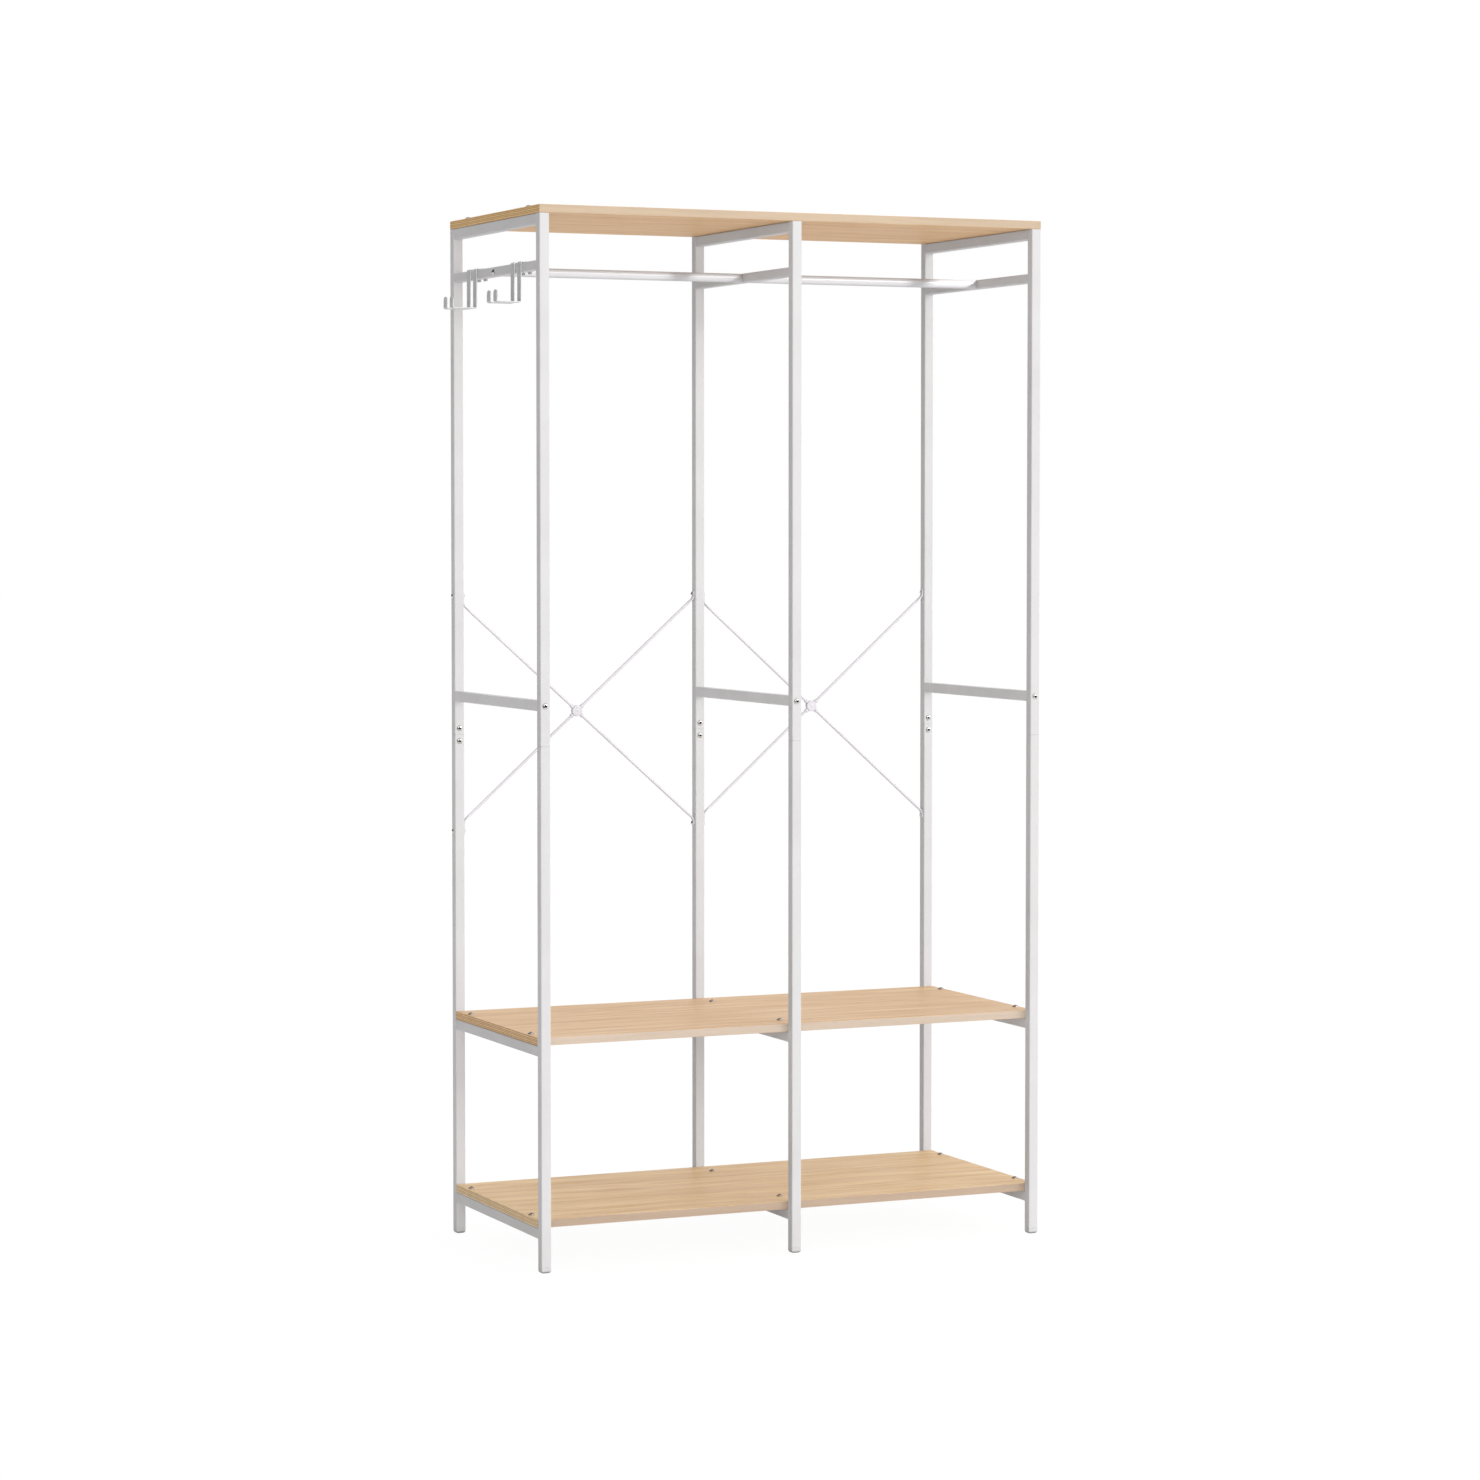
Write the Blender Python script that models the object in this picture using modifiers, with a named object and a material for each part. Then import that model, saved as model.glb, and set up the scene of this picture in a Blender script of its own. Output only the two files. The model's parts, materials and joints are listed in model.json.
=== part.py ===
"""Open garment rack with two bays: three tube frames, three boards, rods, braces and hooks.

Metres, +Z up. The front of the rack faces -Y, and its hooks hang on the left side, at -X.
The origin lies on the floor, under the middle of everything that the rack occupies.
"""

import bmesh
import bpy
from math import cos, pi, radians, sin, tan
from mathutils import Matrix, Vector

# The whole rack, over the outer faces of its frames.
RACK_WIDTH = 0.9494
RACK_DEPTH = 0.4364
RACK_HEIGHT = 1.800

# Steel tube. A post shows its wide side to the front, and a bar is narrower than a post.
POST_WIDTH = 0.018
POST_DEPTH = 0.017
BAR_WIDTH = 0.017
BAR_HEIGHT = 0.018
RAIL_HEIGHT = 0.016
TUBE_WALL = 0.001
TUBE_CORNER = 0.002

# Boards. The top board covers the posts, and the shelves lie between them.
TOP_THICKNESS = 0.014
SHELF_THICKNESS = 0.014
BOARD_EDGE = 0.0006
MIDDLE_SHELF_TOP = 0.399
BOTTOM_SHELF_TOP = 0.089
BOARD_SCREW = 0.006
BOARD_SCREW_INSET = 0.071

# The seam between the lower and upper halves, and how far above it the cross bars lie.
SEAM_HEIGHT = 0.892
CROSS_BAR_RISE = 0.068

# How far the axis of the hanging rods lies under the top of the rack.
ROD_DROP = 0.1005

# Sleeves inside the posts, where the lower half of each frame meets its upper half.
SLEEVE_LENGTH = 0.060
SLEEVE_WALL = 0.0015
SLEEVE_SCREW = 0.004
SLEEVE_SCREW_PITCH = 0.0226

# End caps that plug the posts and stand on the floor.
FOOT_HEIGHT = 0.010
FOOT_ROUNDING = 0.005
FOOT_STEM = 0.018

# Hanging rods, and the bolts through the rails that carry them.
ROD_DIAMETER = 0.016
ROD_WALL = 0.0012
ROD_PLUG = 0.014
BOLT = 0.006
BOLT_GRIP = 0.011
ROD_HEAD = 0.0115
CROSS_HEAD = 0.0105
HEAD_HEIGHT = 0.003
SOCKET = 0.004
SOCKET_DEPTH = 0.0016
CROSS_BAR_PLUG = 0.014

# Cross braces: four rods and a hub behind each bay, bolted above and below the seam.
BRACE_RISE = 0.2465
BRACE_FALL = 0.1715
BRACE_SHIFT = 0.0055
BRACE_ROD = 0.005
TONGUE_WIDTH = 0.0098
TONGUE_THICKNESS = 0.002
TONGUE_END = 0.0065
LEFT_TONGUE_DROP = 0.0165
RIGHT_TONGUE_DROP = 0.0078
TONGUE_BEND = 0.008
FLATTENED_LENGTH = 0.015
HUB_DIAMETER = 0.020
HUB_THICKNESS = 0.0085
HUB_EDGE = 0.0012
HUB_GRIP = 0.005
HUB_HOLE = 0.0035
COLLAR_DIAMETER = 0.0074
COLLAR_LENGTH = 0.005
BRACE_BOLT = 0.005
BRACE_BOLT_END = 0.002
BRACE_HEAD = 0.009
BRACE_HEAD_HEIGHT = 0.0026

# Hooks bent from flat strip, which hang over the left rail and slide along it.
HOOK_WIDTH = 0.0165
HOOK_STRIP = 0.002
HOOK_BEND = 0.0024
HOOK_INNER_LEG = 0.0195
HOOK_DROP = 0.068
HOOK_REACH = 0.045
HOOK_PRONG = 0.0215
HOOK_TIP = 0.007
HOOK_PITCH = 0.0313
HOOK_FRONT_INSET = 0.066
HOOK_BACK_INSET = 0.073

# Clearances: under what rests or is fastened, and round what passes through.
SEAT = 0.0003
PLAY = 0.0003

# Facets.
ROUND_STEPS = 18
BOLT_STEPS = 10
CORNER_STEPS = 2
BEND_STEPS = 3

# Places that follow from the sizes, measured from the middle of the rack.
HALF_WIDTH = RACK_WIDTH / 2
HALF_DEPTH = RACK_DEPTH / 2
INNER_DEPTH = HALF_DEPTH - POST_DEPTH
FRAMES = {
    "left": -HALF_WIDTH + POST_WIDTH / 2,
    "middle": 0.0,
    "right": HALF_WIDTH - POST_WIDTH / 2,
}
ROWS = {"front": -HALF_DEPTH + POST_DEPTH / 2, "back": HALF_DEPTH - POST_DEPTH / 2}
INWARD = {"front": 1.0, "back": -1.0}
POST_TOP = RACK_HEIGHT - TOP_THICKNESS - SEAT
CROSS_BAR_HEIGHT = SEAM_HEIGHT + CROSS_BAR_RISE
BRACE_TOP = SEAM_HEIGHT + BRACE_RISE
BRACE_BOTTOM = SEAM_HEIGHT - BRACE_FALL
ROD_AXIS = RACK_HEIGHT - ROD_DROP
TOP_BAR_AXIS = POST_TOP - BAR_HEIGHT / 2
MIDDLE_BAR_AXIS = MIDDLE_SHELF_TOP - SHELF_THICKNESS - SEAT - BAR_HEIGHT / 2
BOTTOM_BAR_AXIS = BOTTOM_SHELF_TOP - SHELF_THICKNESS - SEAT - BAR_HEIGHT / 2
SCREW_ROWS = (-HALF_DEPTH + BOARD_SCREW_INSET, HALF_DEPTH - BOARD_SCREW_INSET)
INNER_CORNER = max(TUBE_CORNER - TUBE_WALL, 0.0)
BRACE_ROW = ROWS["back"]
HUB_HEIGHT = (BRACE_TOP + BRACE_BOTTOM) / 2
RIGHT_REACH = max(SEAT + BRACE_HEAD_HEIGHT, SEAT + HEAD_HEIGHT - (POST_WIDTH - BAR_WIDTH) / 2)
SHIFT_X = (HOOK_REACH - RIGHT_REACH) / 2


def clear_scene():
    for thing in list(bpy.data.objects):
        bpy.data.objects.remove(thing, do_unlink=True)


def make_collection(name, parent):
    made = bpy.data.collections.new(name)
    parent.children.link(made)
    return made


def make_material(name, colour, roughness, metallic):
    made = bpy.data.materials.new(name)
    made.use_nodes = True
    shader = made.node_tree.nodes["Principled BSDF"]
    shader.inputs["Base Color"].default_value = (*colour, 1.0)
    shader.inputs["Roughness"].default_value = roughness
    shader.inputs["Metallic"].default_value = metallic
    made.diffuse_color = (*colour, 1.0)
    return made


def make_object(bm, name, collection, place):
    """Turn a bmesh into an object, with soft curves and hard corners."""
    bmesh.ops.recalc_face_normals(bm, faces=bm.faces)
    mesh = bpy.data.meshes.new(name)
    bm.to_mesh(mesh)
    bm.free()
    mesh.shade_smooth()
    mesh.set_sharp_from_angle(angle=radians(48))
    made = bpy.data.objects.new(name, mesh)
    collection.objects.link(made)
    made.matrix_world = place
    return made


def facing(position, direction):
    """A placement at position whose own Z points along direction."""
    turn = Vector(direction).to_track_quat("Z", "Y").to_matrix().to_4x4()
    return Matrix.Translation(Vector(position)) @ turn


def box(name, collection, low, high, axis=None, radius=0.0, steps=CORNER_STEPS):
    """A box between two corners, with the edges along one axis, or all of them, rounded."""
    low = Vector(low)
    high = Vector(high)
    bm = bmesh.new()
    bmesh.ops.create_cube(bm, size=1.0)
    bmesh.ops.scale(bm, vec=high - low, verts=bm.verts)
    if radius > 0:
        edges = []
        for edge in bm.edges:
            run = edge.verts[0].co - edge.verts[1].co
            if axis is None or abs(run["XYZ".index(axis)]) > 0.5 * run.length:
                edges.append(edge)
        bmesh.ops.bevel(bm, geom=edges, offset=radius, segments=steps, profile=0.5, affect="EDGES")
    return make_object(bm, name, collection, Matrix.Translation((low + high) / 2))


def round_bar(name, collection, centre, direction, diameter, length, steps=BOLT_STEPS):
    bm = bmesh.new()
    radius = diameter / 2
    bmesh.ops.create_cone(
        bm, cap_ends=True, segments=steps, radius1=radius, radius2=radius, depth=length
    )
    return make_object(bm, name, collection, facing(centre, direction))


def drill(cutters, centre, direction, diameter, length, steps=BOLT_STEPS):
    return round_bar("drill", cutters, centre, direction, diameter, length, steps)


def combine(target, operands, operation):
    """Join or cut the target with every object of a collection."""
    step = target.modifiers.new(operation.lower(), "BOOLEAN")
    step.operation = operation
    step.operand_type = "COLLECTION"
    step.collection = operands
    step.solver = "EXACT"


def turned(name, collection, profile, place, steps=BOLT_STEPS):
    """Spin a profile of (radius, height) points, listed from top to bottom, about Z."""
    bm = bmesh.new()
    verts = [bm.verts.new((radius, 0.0, height)) for radius, height in profile]
    for first, second in zip(verts, verts[1:]):
        bm.edges.new((first, second))
    mesh = bpy.data.meshes.new(name)
    bm.to_mesh(mesh)
    bm.free()
    made = bpy.data.objects.new(name, mesh)
    collection.objects.link(made)
    made.matrix_world = place
    spin = made.modifiers.new("spin", "SCREW")
    spin.axis = "Z"
    spin.angle = 2 * pi
    spin.steps = steps
    spin.render_steps = steps
    spin.use_merge_vertices = True
    spin.merge_threshold = 0.00001
    spin.use_smooth_shade = False
    return made


def outline(half_x, half_y, corner, steps=CORNER_STEPS):
    """Points of a rectangle with rounded corners, counter-clockwise."""
    corner = min(corner, half_x - 0.00005, half_y - 0.00005)
    points = []
    for index, (way_x, way_y) in enumerate(((1, 1), (-1, 1), (-1, -1), (1, -1))):
        for step in range(steps + 1):
            angle = (index + step / steps) * pi / 2
            x = way_x * (half_x - corner) + corner * cos(angle)
            y = way_y * (half_y - corner) + corner * sin(angle)
            points.append((x, y))
    return points


def loft(name, collection, rings, place):
    """A closed solid through rings of matching points, with both ends filled."""
    bm = bmesh.new()
    rows = [[bm.verts.new(point) for point in ring] for ring in rings]
    count = len(rows[0])
    for row, after in zip(rows, rows[1:]):
        for index in range(count):
            following = (index + 1) % count
            bm.faces.new((row[index], row[following], after[following], after[index]))
    bm.faces.new(list(reversed(rows[0])))
    bm.faces.new(rows[-1])
    return make_object(bm, name, collection, place)


def rounded_path(points, radius, steps=BEND_STEPS):
    """The corners of a flat path replaced by arcs. Points are (x, z) pairs."""
    path = [Vector(points[0])]
    for before, corner, after in zip(points, points[1:], points[2:]):
        corner = Vector(corner)
        back = (Vector(before) - corner).normalized()
        ahead = (Vector(after) - corner).normalized()
        half = back.angle(ahead) / 2
        middle = corner + (back + ahead).normalized() * radius / sin(half)
        first = corner + back * radius / tan(half) - middle
        last = corner + ahead * radius / tan(half) - middle
        sweep = first.angle(last)
        for step in range(steps + 1):
            part = step / steps
            blend = first * sin((1 - part) * sweep) + last * sin(part * sweep)
            path.append(middle + blend / sin(sweep))
    path.append(Vector(points[-1]))
    return path


class Rack:
    """The collections, the colours and the empty that carries every part."""

    LOOKS = {
        "frame_white": ((0.80, 0.79, 0.78), 0.42, 0.0),
        "rod_white": ((0.82, 0.82, 0.83), 0.28, 0.0),
        "light_oak": ((0.70, 0.50, 0.33), 0.55, 0.0),
        "cap_white": ((0.72, 0.72, 0.71), 0.50, 0.0),
        "sleeve_zinc": ((0.55, 0.56, 0.58), 0.40, 0.9),
        "bolt_zinc": ((0.66, 0.66, 0.67), 0.30, 0.9),
        "brace_white": ((0.78, 0.78, 0.79), 0.35, 0.0),
        "hub_metal": ((0.74, 0.74, 0.75), 0.35, 0.1),
        "hook_grey": ((0.60, 0.60, 0.60), 0.38, 0.2),
    }

    def __init__(self):
        scene = bpy.context.scene.collection
        self.parts = make_collection("garment_rack", scene)
        self.cutters = make_collection("cutters", scene)
        self.origin = bpy.data.objects.new("rack_origin", None)
        self.origin.location = (SHIFT_X, 0.0, 0.0)
        self.parts.objects.link(self.origin)

    def group(self, name):
        return make_collection(name, self.cutters)

    def add(self, thing, look):
        """Give a part its own material and hang it on the rack's origin."""
        thing.data.materials.clear()
        thing.data.materials.append(make_material(thing.name + "_" + look, *self.LOOKS[look]))
        thing.parent = self.origin

    def finish(self):
        """Helpers follow the same origin as the parts, and stay out of the render."""
        for group in self.cutters.children:
            for thing in group.objects:
                thing.parent = self.origin
                thing.hide_render = True
                thing.display_type = "WIRE"


def welded_bar(name, solids, cutters, x, axis, height):
    """A hollow bar that reaches just through the walls of its posts. Its welds close the ends."""
    half = BAR_WIDTH / 2
    reach = INNER_DEPTH + TUBE_WALL * 1.2
    low = (x - half, -reach, axis - height / 2)
    high = (x + half, reach, axis + height / 2)
    box(name, solids, low, high, "Y", TUBE_CORNER)
    hollow = INNER_DEPTH - TUBE_WALL * 0.2
    low = (x - half + TUBE_WALL, -hollow, axis - height / 2 + TUBE_WALL)
    high = (x + half - TUBE_WALL, hollow, axis + height / 2 - TUBE_WALL)
    box(name + "_hollow", cutters, low, high, "Y", INNER_CORNER, 1)


def posts(rack, name, solids, cutters, x, bottom, top):
    """The front post is the body that the back post and the bars are welded to."""
    half_x = POST_WIDTH / 2
    half_y = POST_DEPTH / 2
    frame = None
    for row, y in ROWS.items():
        home = rack.parts if frame is None else solids
        low = (x - half_x, y - half_y, bottom)
        high = (x + half_x, y + half_y, top)
        post = box(name if frame is None else name + "_" + row, home, low, high, "Z", TUBE_CORNER)
        frame = frame or post
        low = (x - half_x + TUBE_WALL, y - half_y + TUBE_WALL, bottom - TUBE_WALL)
        high = (x + half_x - TUBE_WALL, y + half_y - TUBE_WALL, top + TUBE_WALL)
        box(name + "_hollow", cutters, low, high, "Z", INNER_CORNER, 1)
    return frame


def sleeve_holes(cutters, x, height):
    """Each sleeve screw enters on the side of its post that faces the other post."""
    for row, y in ROWS.items():
        wall = y + INWARD[row] * (POST_DEPTH - TUBE_WALL) / 2
        drill(cutters, (x, wall, height), (0, 1, 0), SLEEVE_SCREW + 2 * PLAY, TUBE_WALL * 2.2)


def upper_frame(rack, side, x):
    name = "upper_frame_" + side
    solids = rack.group(name + "_welded")
    cutters = rack.group(name + "_cuts")
    frame = posts(rack, name, solids, cutters, x, SEAM_HEIGHT + SEAT / 2, POST_TOP)
    welded_bar("top_bar", solids, cutters, x, TOP_BAR_AXIS, BAR_HEIGHT)
    welded_bar("rail", solids, cutters, x, ROD_AXIS, RAIL_HEIGHT)
    for y in SCREW_ROWS:
        drill(cutters, (x, y, POST_TOP), (0, 0, 1), BOARD_SCREW + 2 * PLAY, TUBE_WALL * 4)
    drill(cutters, (x, 0.0, ROD_AXIS), (1, 0, 0), BOLT + 2 * PLAY, BAR_WIDTH * 1.5)
    for y in ROWS.values():
        drill(cutters, (x, y, CROSS_BAR_HEIGHT), (0, 1, 0), BOLT + 2 * PLAY, POST_DEPTH * 1.5)
    drill(cutters, (x, BRACE_ROW, BRACE_TOP), (1, 0, 0), BRACE_BOLT + 2 * PLAY, POST_WIDTH * 1.5)
    sleeve_holes(cutters, x, SEAM_HEIGHT + SLEEVE_SCREW_PITCH / 2)
    combine(frame, solids, "UNION")
    combine(frame, cutters, "DIFFERENCE")
    rack.add(frame, "frame_white")


def lower_frame(rack, side, x):
    name = "lower_frame_" + side
    solids = rack.group(name + "_welded")
    cutters = rack.group(name + "_cuts")
    frame = posts(rack, name, solids, cutters, x, FOOT_HEIGHT + SEAT, SEAM_HEIGHT - SEAT / 2)
    for axis in (MIDDLE_BAR_AXIS, BOTTOM_BAR_AXIS):
        welded_bar("shelf_bar", solids, cutters, x, axis, BAR_HEIGHT)
        for y in SCREW_ROWS:
            top = axis + BAR_HEIGHT / 2
            drill(cutters, (x, y, top), (0, 0, 1), BOARD_SCREW + 2 * PLAY, TUBE_WALL * 4)
    drill(cutters, (x, BRACE_ROW, BRACE_BOTTOM), (1, 0, 0), BRACE_BOLT + 2 * PLAY, POST_WIDTH * 1.5)
    sleeve_holes(cutters, x, SEAM_HEIGHT - SLEEVE_SCREW_PITCH / 2)
    combine(frame, solids, "UNION")
    combine(frame, cutters, "DIFFERENCE")
    rack.add(frame, "frame_white")


def cross_bar(rack, side, x):
    """A loose bar between the posts of one frame, with a drilled plug in each end."""
    name = "cross_bar_" + side
    cutters = rack.group(name + "_cuts")
    half_x = BAR_WIDTH / 2
    half_y = INNER_DEPTH - SEAT
    half_z = BAR_HEIGHT / 2
    low = (x - half_x, -half_y, CROSS_BAR_HEIGHT - half_z)
    high = (x + half_x, half_y, CROSS_BAR_HEIGHT + half_z)
    bar = box(name, rack.parts, low, high, "Y", TUBE_CORNER)
    hollow = half_y - CROSS_BAR_PLUG
    low = (x - half_x + TUBE_WALL, -hollow, CROSS_BAR_HEIGHT - half_z + TUBE_WALL)
    high = (x + half_x - TUBE_WALL, hollow, CROSS_BAR_HEIGHT + half_z - TUBE_WALL)
    box(name + "_hollow", cutters, low, high, "Y", INNER_CORNER, 1)
    drill(cutters, (x, 0.0, CROSS_BAR_HEIGHT), (0, 1, 0), BOLT + 2 * PLAY, RACK_DEPTH)
    combine(bar, cutters, "DIFFERENCE")
    rack.add(bar, "frame_white")


def board(rack, name, half_depth, top, thickness):
    """A board across all three frames, drilled above each bar that carries it."""
    cutters = rack.group(name + "_cuts")
    low = (-HALF_WIDTH, -half_depth, top - thickness)
    high = (HALF_WIDTH, half_depth, top)
    made = box(name, rack.parts, low, high, None, BOARD_EDGE, 1)
    for x in FRAMES.values():
        for y in SCREW_ROWS:
            centre = (x, y, top - thickness / 2)
            drill(cutters, centre, (0, 0, 1), BOARD_SCREW + 2 * PLAY, thickness * 1.5)
    combine(made, cutters, "DIFFERENCE")
    rack.add(made, "light_oak")


def hanging_rod(rack, side, low_x, high_x):
    """A round tube between two rails, with a drilled plug in each end."""
    name = "hanging_rod_" + side
    cutters = rack.group(name + "_cuts")
    low = low_x + BAR_WIDTH / 2 + SEAT
    high = high_x - BAR_WIDTH / 2 - SEAT
    centre = ((low + high) / 2, 0.0, ROD_AXIS)
    length = high - low
    rod = round_bar(name, rack.parts, centre, (1, 0, 0), ROD_DIAMETER, length, ROUND_STEPS)
    bore = ROD_DIAMETER - 2 * ROD_WALL
    drill(cutters, centre, (1, 0, 0), bore, length - 2 * ROD_PLUG, ROUND_STEPS)
    drill(cutters, centre, (1, 0, 0), BOLT + 2 * PLAY, length + ROD_WALL)
    combine(rod, cutters, "DIFFERENCE")
    rack.add(rod, "rod_white")


def joint_sleeve(rack, side, row, x, y):
    """A short tube inside both halves of a post, drilled for the screws of its joint."""
    name = "joint_sleeve_" + side + "_" + row
    cutters = rack.group(name + "_cuts")
    half_x = POST_WIDTH / 2 - TUBE_WALL - PLAY
    half_y = POST_DEPTH / 2 - TUBE_WALL - PLAY
    bottom = SEAM_HEIGHT - SLEEVE_LENGTH / 2
    top = SEAM_HEIGHT + SLEEVE_LENGTH / 2
    low = (x - half_x, y - half_y, bottom)
    high = (x + half_x, y + half_y, top)
    made = box(name, rack.parts, low, high, "Z", INNER_CORNER, 1)
    low = (x - half_x + SLEEVE_WALL, y - half_y + SLEEVE_WALL, bottom - SLEEVE_WALL)
    high = (x + half_x - SLEEVE_WALL, y + half_y - SLEEVE_WALL, top + SLEEVE_WALL)
    box(name + "_hollow", cutters, low, high)
    wall = y + INWARD[row] * (half_y - SLEEVE_WALL / 2)
    for way in (-1, 1):
        height = SEAM_HEIGHT + way * SLEEVE_SCREW_PITCH / 2
        drill(cutters, (x, wall, height), (0, 1, 0), SLEEVE_SCREW + 2 * PLAY, SLEEVE_WALL * 2)
    combine(made, cutters, "DIFFERENCE")
    rack.add(made, "sleeve_zinc")


def foot(rack, side, row, x, y):
    """An end cap: a stem inside the post, a rim under its end and a rounded sole."""
    half_x = POST_WIDTH / 2
    half_y = POST_DEPTH / 2
    inset = TUBE_WALL + PLAY
    levels = [
        (FOOT_HEIGHT + FOOT_STEM, inset + TUBE_WALL),
        (FOOT_HEIGHT + FOOT_STEM - TUBE_WALL, inset),
        (FOOT_HEIGHT, inset),
        (FOOT_HEIGHT, 0.0),
    ]
    for step in range(BEND_STEPS + 1):
        angle = step / BEND_STEPS * pi / 2
        levels.append((FOOT_ROUNDING * (1 - sin(angle)), FOOT_ROUNDING * (1 - cos(angle))))
    rings = []
    for height, shrink in levels:
        corner = max(TUBE_CORNER - shrink, TUBE_CORNER / 4)
        points = outline(half_x - shrink, half_y - shrink, corner)
        rings.append([(px, py, height) for px, py in points])
    name = "foot_" + side + "_" + row
    made = loft(name, rack.parts, rings, Matrix.Translation((x, y, 0.0)))
    rack.add(made, "cap_white")


def bolt(rack, name, seat, outward, head, head_height, shank, length):
    """A low round head with a hex socket. Its shank runs inward from the seat."""
    cutters = rack.group(name + "_cuts")
    place = facing(seat, outward)
    radius = head / 2
    tip = shank * 0.08
    profile = [
        (0.0, head_height),
        (radius * 0.62, head_height),
        (radius * 0.88, head_height * 0.76),
        (radius, head_height * 0.35),
        (radius, 0.0),
        (shank / 2, 0.0),
        (shank / 2, tip - length),
        (shank / 2 - tip, -length),
        (0.0, -length),
    ]
    made = turned(name, rack.parts, profile, place)
    socket = drill(cutters, (0, 0, 0), (0, 0, 1), SOCKET, SOCKET_DEPTH * 2, 6)
    socket.matrix_world = place @ Matrix.Translation((0.0, 0.0, head_height))
    combine(made, cutters, "DIFFERENCE")
    rack.add(made, "bolt_zinc")


def rod_bolts(rack):
    """A bolt through each outer rail, and a stud through the middle rail, hold the rods."""
    length = BAR_WIDTH + 2 * SEAT + BOLT_GRIP
    for side, outward in (("left", -1.0), ("right", 1.0)):
        face = FRAMES[side] + outward * (BAR_WIDTH / 2 + SEAT)
        seat = (face, 0.0, ROD_AXIS)
        bolt(rack, "rod_bolt_" + side, seat, (outward, 0, 0), ROD_HEAD, HEAD_HEIGHT, BOLT, length)
    reach = BAR_WIDTH / 2 + SEAT + BOLT_GRIP
    tip = BOLT * 0.08
    profile = [
        (0.0, reach),
        (BOLT / 2 - tip, reach),
        (BOLT / 2, reach - tip),
        (BOLT / 2, tip - reach),
        (BOLT / 2 - tip, -reach),
        (0.0, -reach),
    ]
    place = facing((FRAMES["middle"], 0.0, ROD_AXIS), (1, 0, 0))
    rack.add(turned("rod_stud_middle", rack.parts, profile, place), "bolt_zinc")


def cross_bar_bolts(rack, side, x):
    length = POST_DEPTH + 2 * SEAT + BOLT_GRIP
    for row, y in ROWS.items():
        outward = -INWARD[row]
        seat = (x, y + outward * (POST_DEPTH / 2 + SEAT), CROSS_BAR_HEIGHT)
        name = "cross_bar_bolt_" + side + "_" + row
        bolt(rack, name, seat, (0, outward, 0), CROSS_HEAD, HEAD_HEIGHT, BOLT, length)


def brace_bolts(rack):
    """Two bolts for each back post. On the middle post, tongues lie on both sides."""
    half = POST_WIDTH / 2
    tongue = SEAT + TONGUE_THICKNESS
    for level, height in (("upper", BRACE_TOP), ("lower", BRACE_BOTTOM)):
        for side, outward in (("left", -1.0), ("middle", -1.0), ("right", 1.0)):
            name = "brace_bolt_" + side + "_" + level
            under_head = tongue if side == "middle" else 0.0
            seat = (FRAMES[side] + outward * (half + under_head + SEAT), BRACE_ROW, height)
            length = SEAT + under_head + POST_WIDTH + tongue + BRACE_BOLT_END
            head = (BRACE_HEAD, BRACE_HEAD_HEIGHT)
            bolt(rack, name, seat, (outward, 0, 0), *head, BRACE_BOLT, length)


def brace_rod_rings(across, down, drop):
    """Rings of one brace rod, from the rounded end of its tongue to its tip in the hub.

    Own X runs from the post's face into the bay, and own Z from the bolt towards the hub.
    The hub's centre lies at (across, down), and the tongue bends off the post at drop.
    """
    lie = SEAT + TONGUE_THICKNESS / 2
    flat = (TONGUE_THICKNESS / 2, TONGUE_WIDTH / 2)
    edge = TONGUE_THICKNESS * 0.3
    rod = BRACE_ROD / 2
    hub = Vector((across, down))
    bend = rounded_path([(lie, -TONGUE_END), (lie, drop), hub], TONGUE_BEND)
    along = (hub - Vector((lie, drop))).normalized()
    upright = Vector((0.0, 1.0))
    rings = []

    def ring(centre, run, thick, wide, corner):
        side = Vector((run.y, -run.x))
        points = []
        for out, y in outline(thick, wide, corner):
            point = centre + side * out
            points.append((point.x, y, point.y))
        rings.append(points)

    for step in range(BEND_STEPS + 1):
        angle = (0.2 + 0.8 * step / BEND_STEPS) * pi / 2
        height = flat[1] * (1 - cos(angle)) - TONGUE_END
        ring(Vector((lie, height)), upright, flat[0], flat[1] * sin(angle), edge)
    arc = bend[1:-1]
    for index, centre in enumerate(arc):
        part = index / (len(arc) - 1)
        run = (upright * (1 - part) + along * part).normalized()
        ring(centre, run, *flat, edge)
    for step in range(1, BEND_STEPS + 1):
        part = step / BEND_STEPS
        blend = part * part * (3 - 2 * part)
        sizes = [start + (rod - start) * blend for start in (*flat, edge)]
        ring(arc[-1] + along * FLATTENED_LENGTH * part, along, *sizes)
    rim = HUB_DIAMETER / 2
    collar = COLLAR_DIAMETER / 2
    for distance, radius in (
        (rim + SEAT + COLLAR_LENGTH, rod),
        (rim + SEAT + COLLAR_LENGTH, collar),
        (rim + SEAT, collar),
        (rim + SEAT, rod),
        (rim - HUB_GRIP, rod),
    ):
        ring(hub - along * distance, along, radius, radius, radius)
    return rings, along


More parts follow.
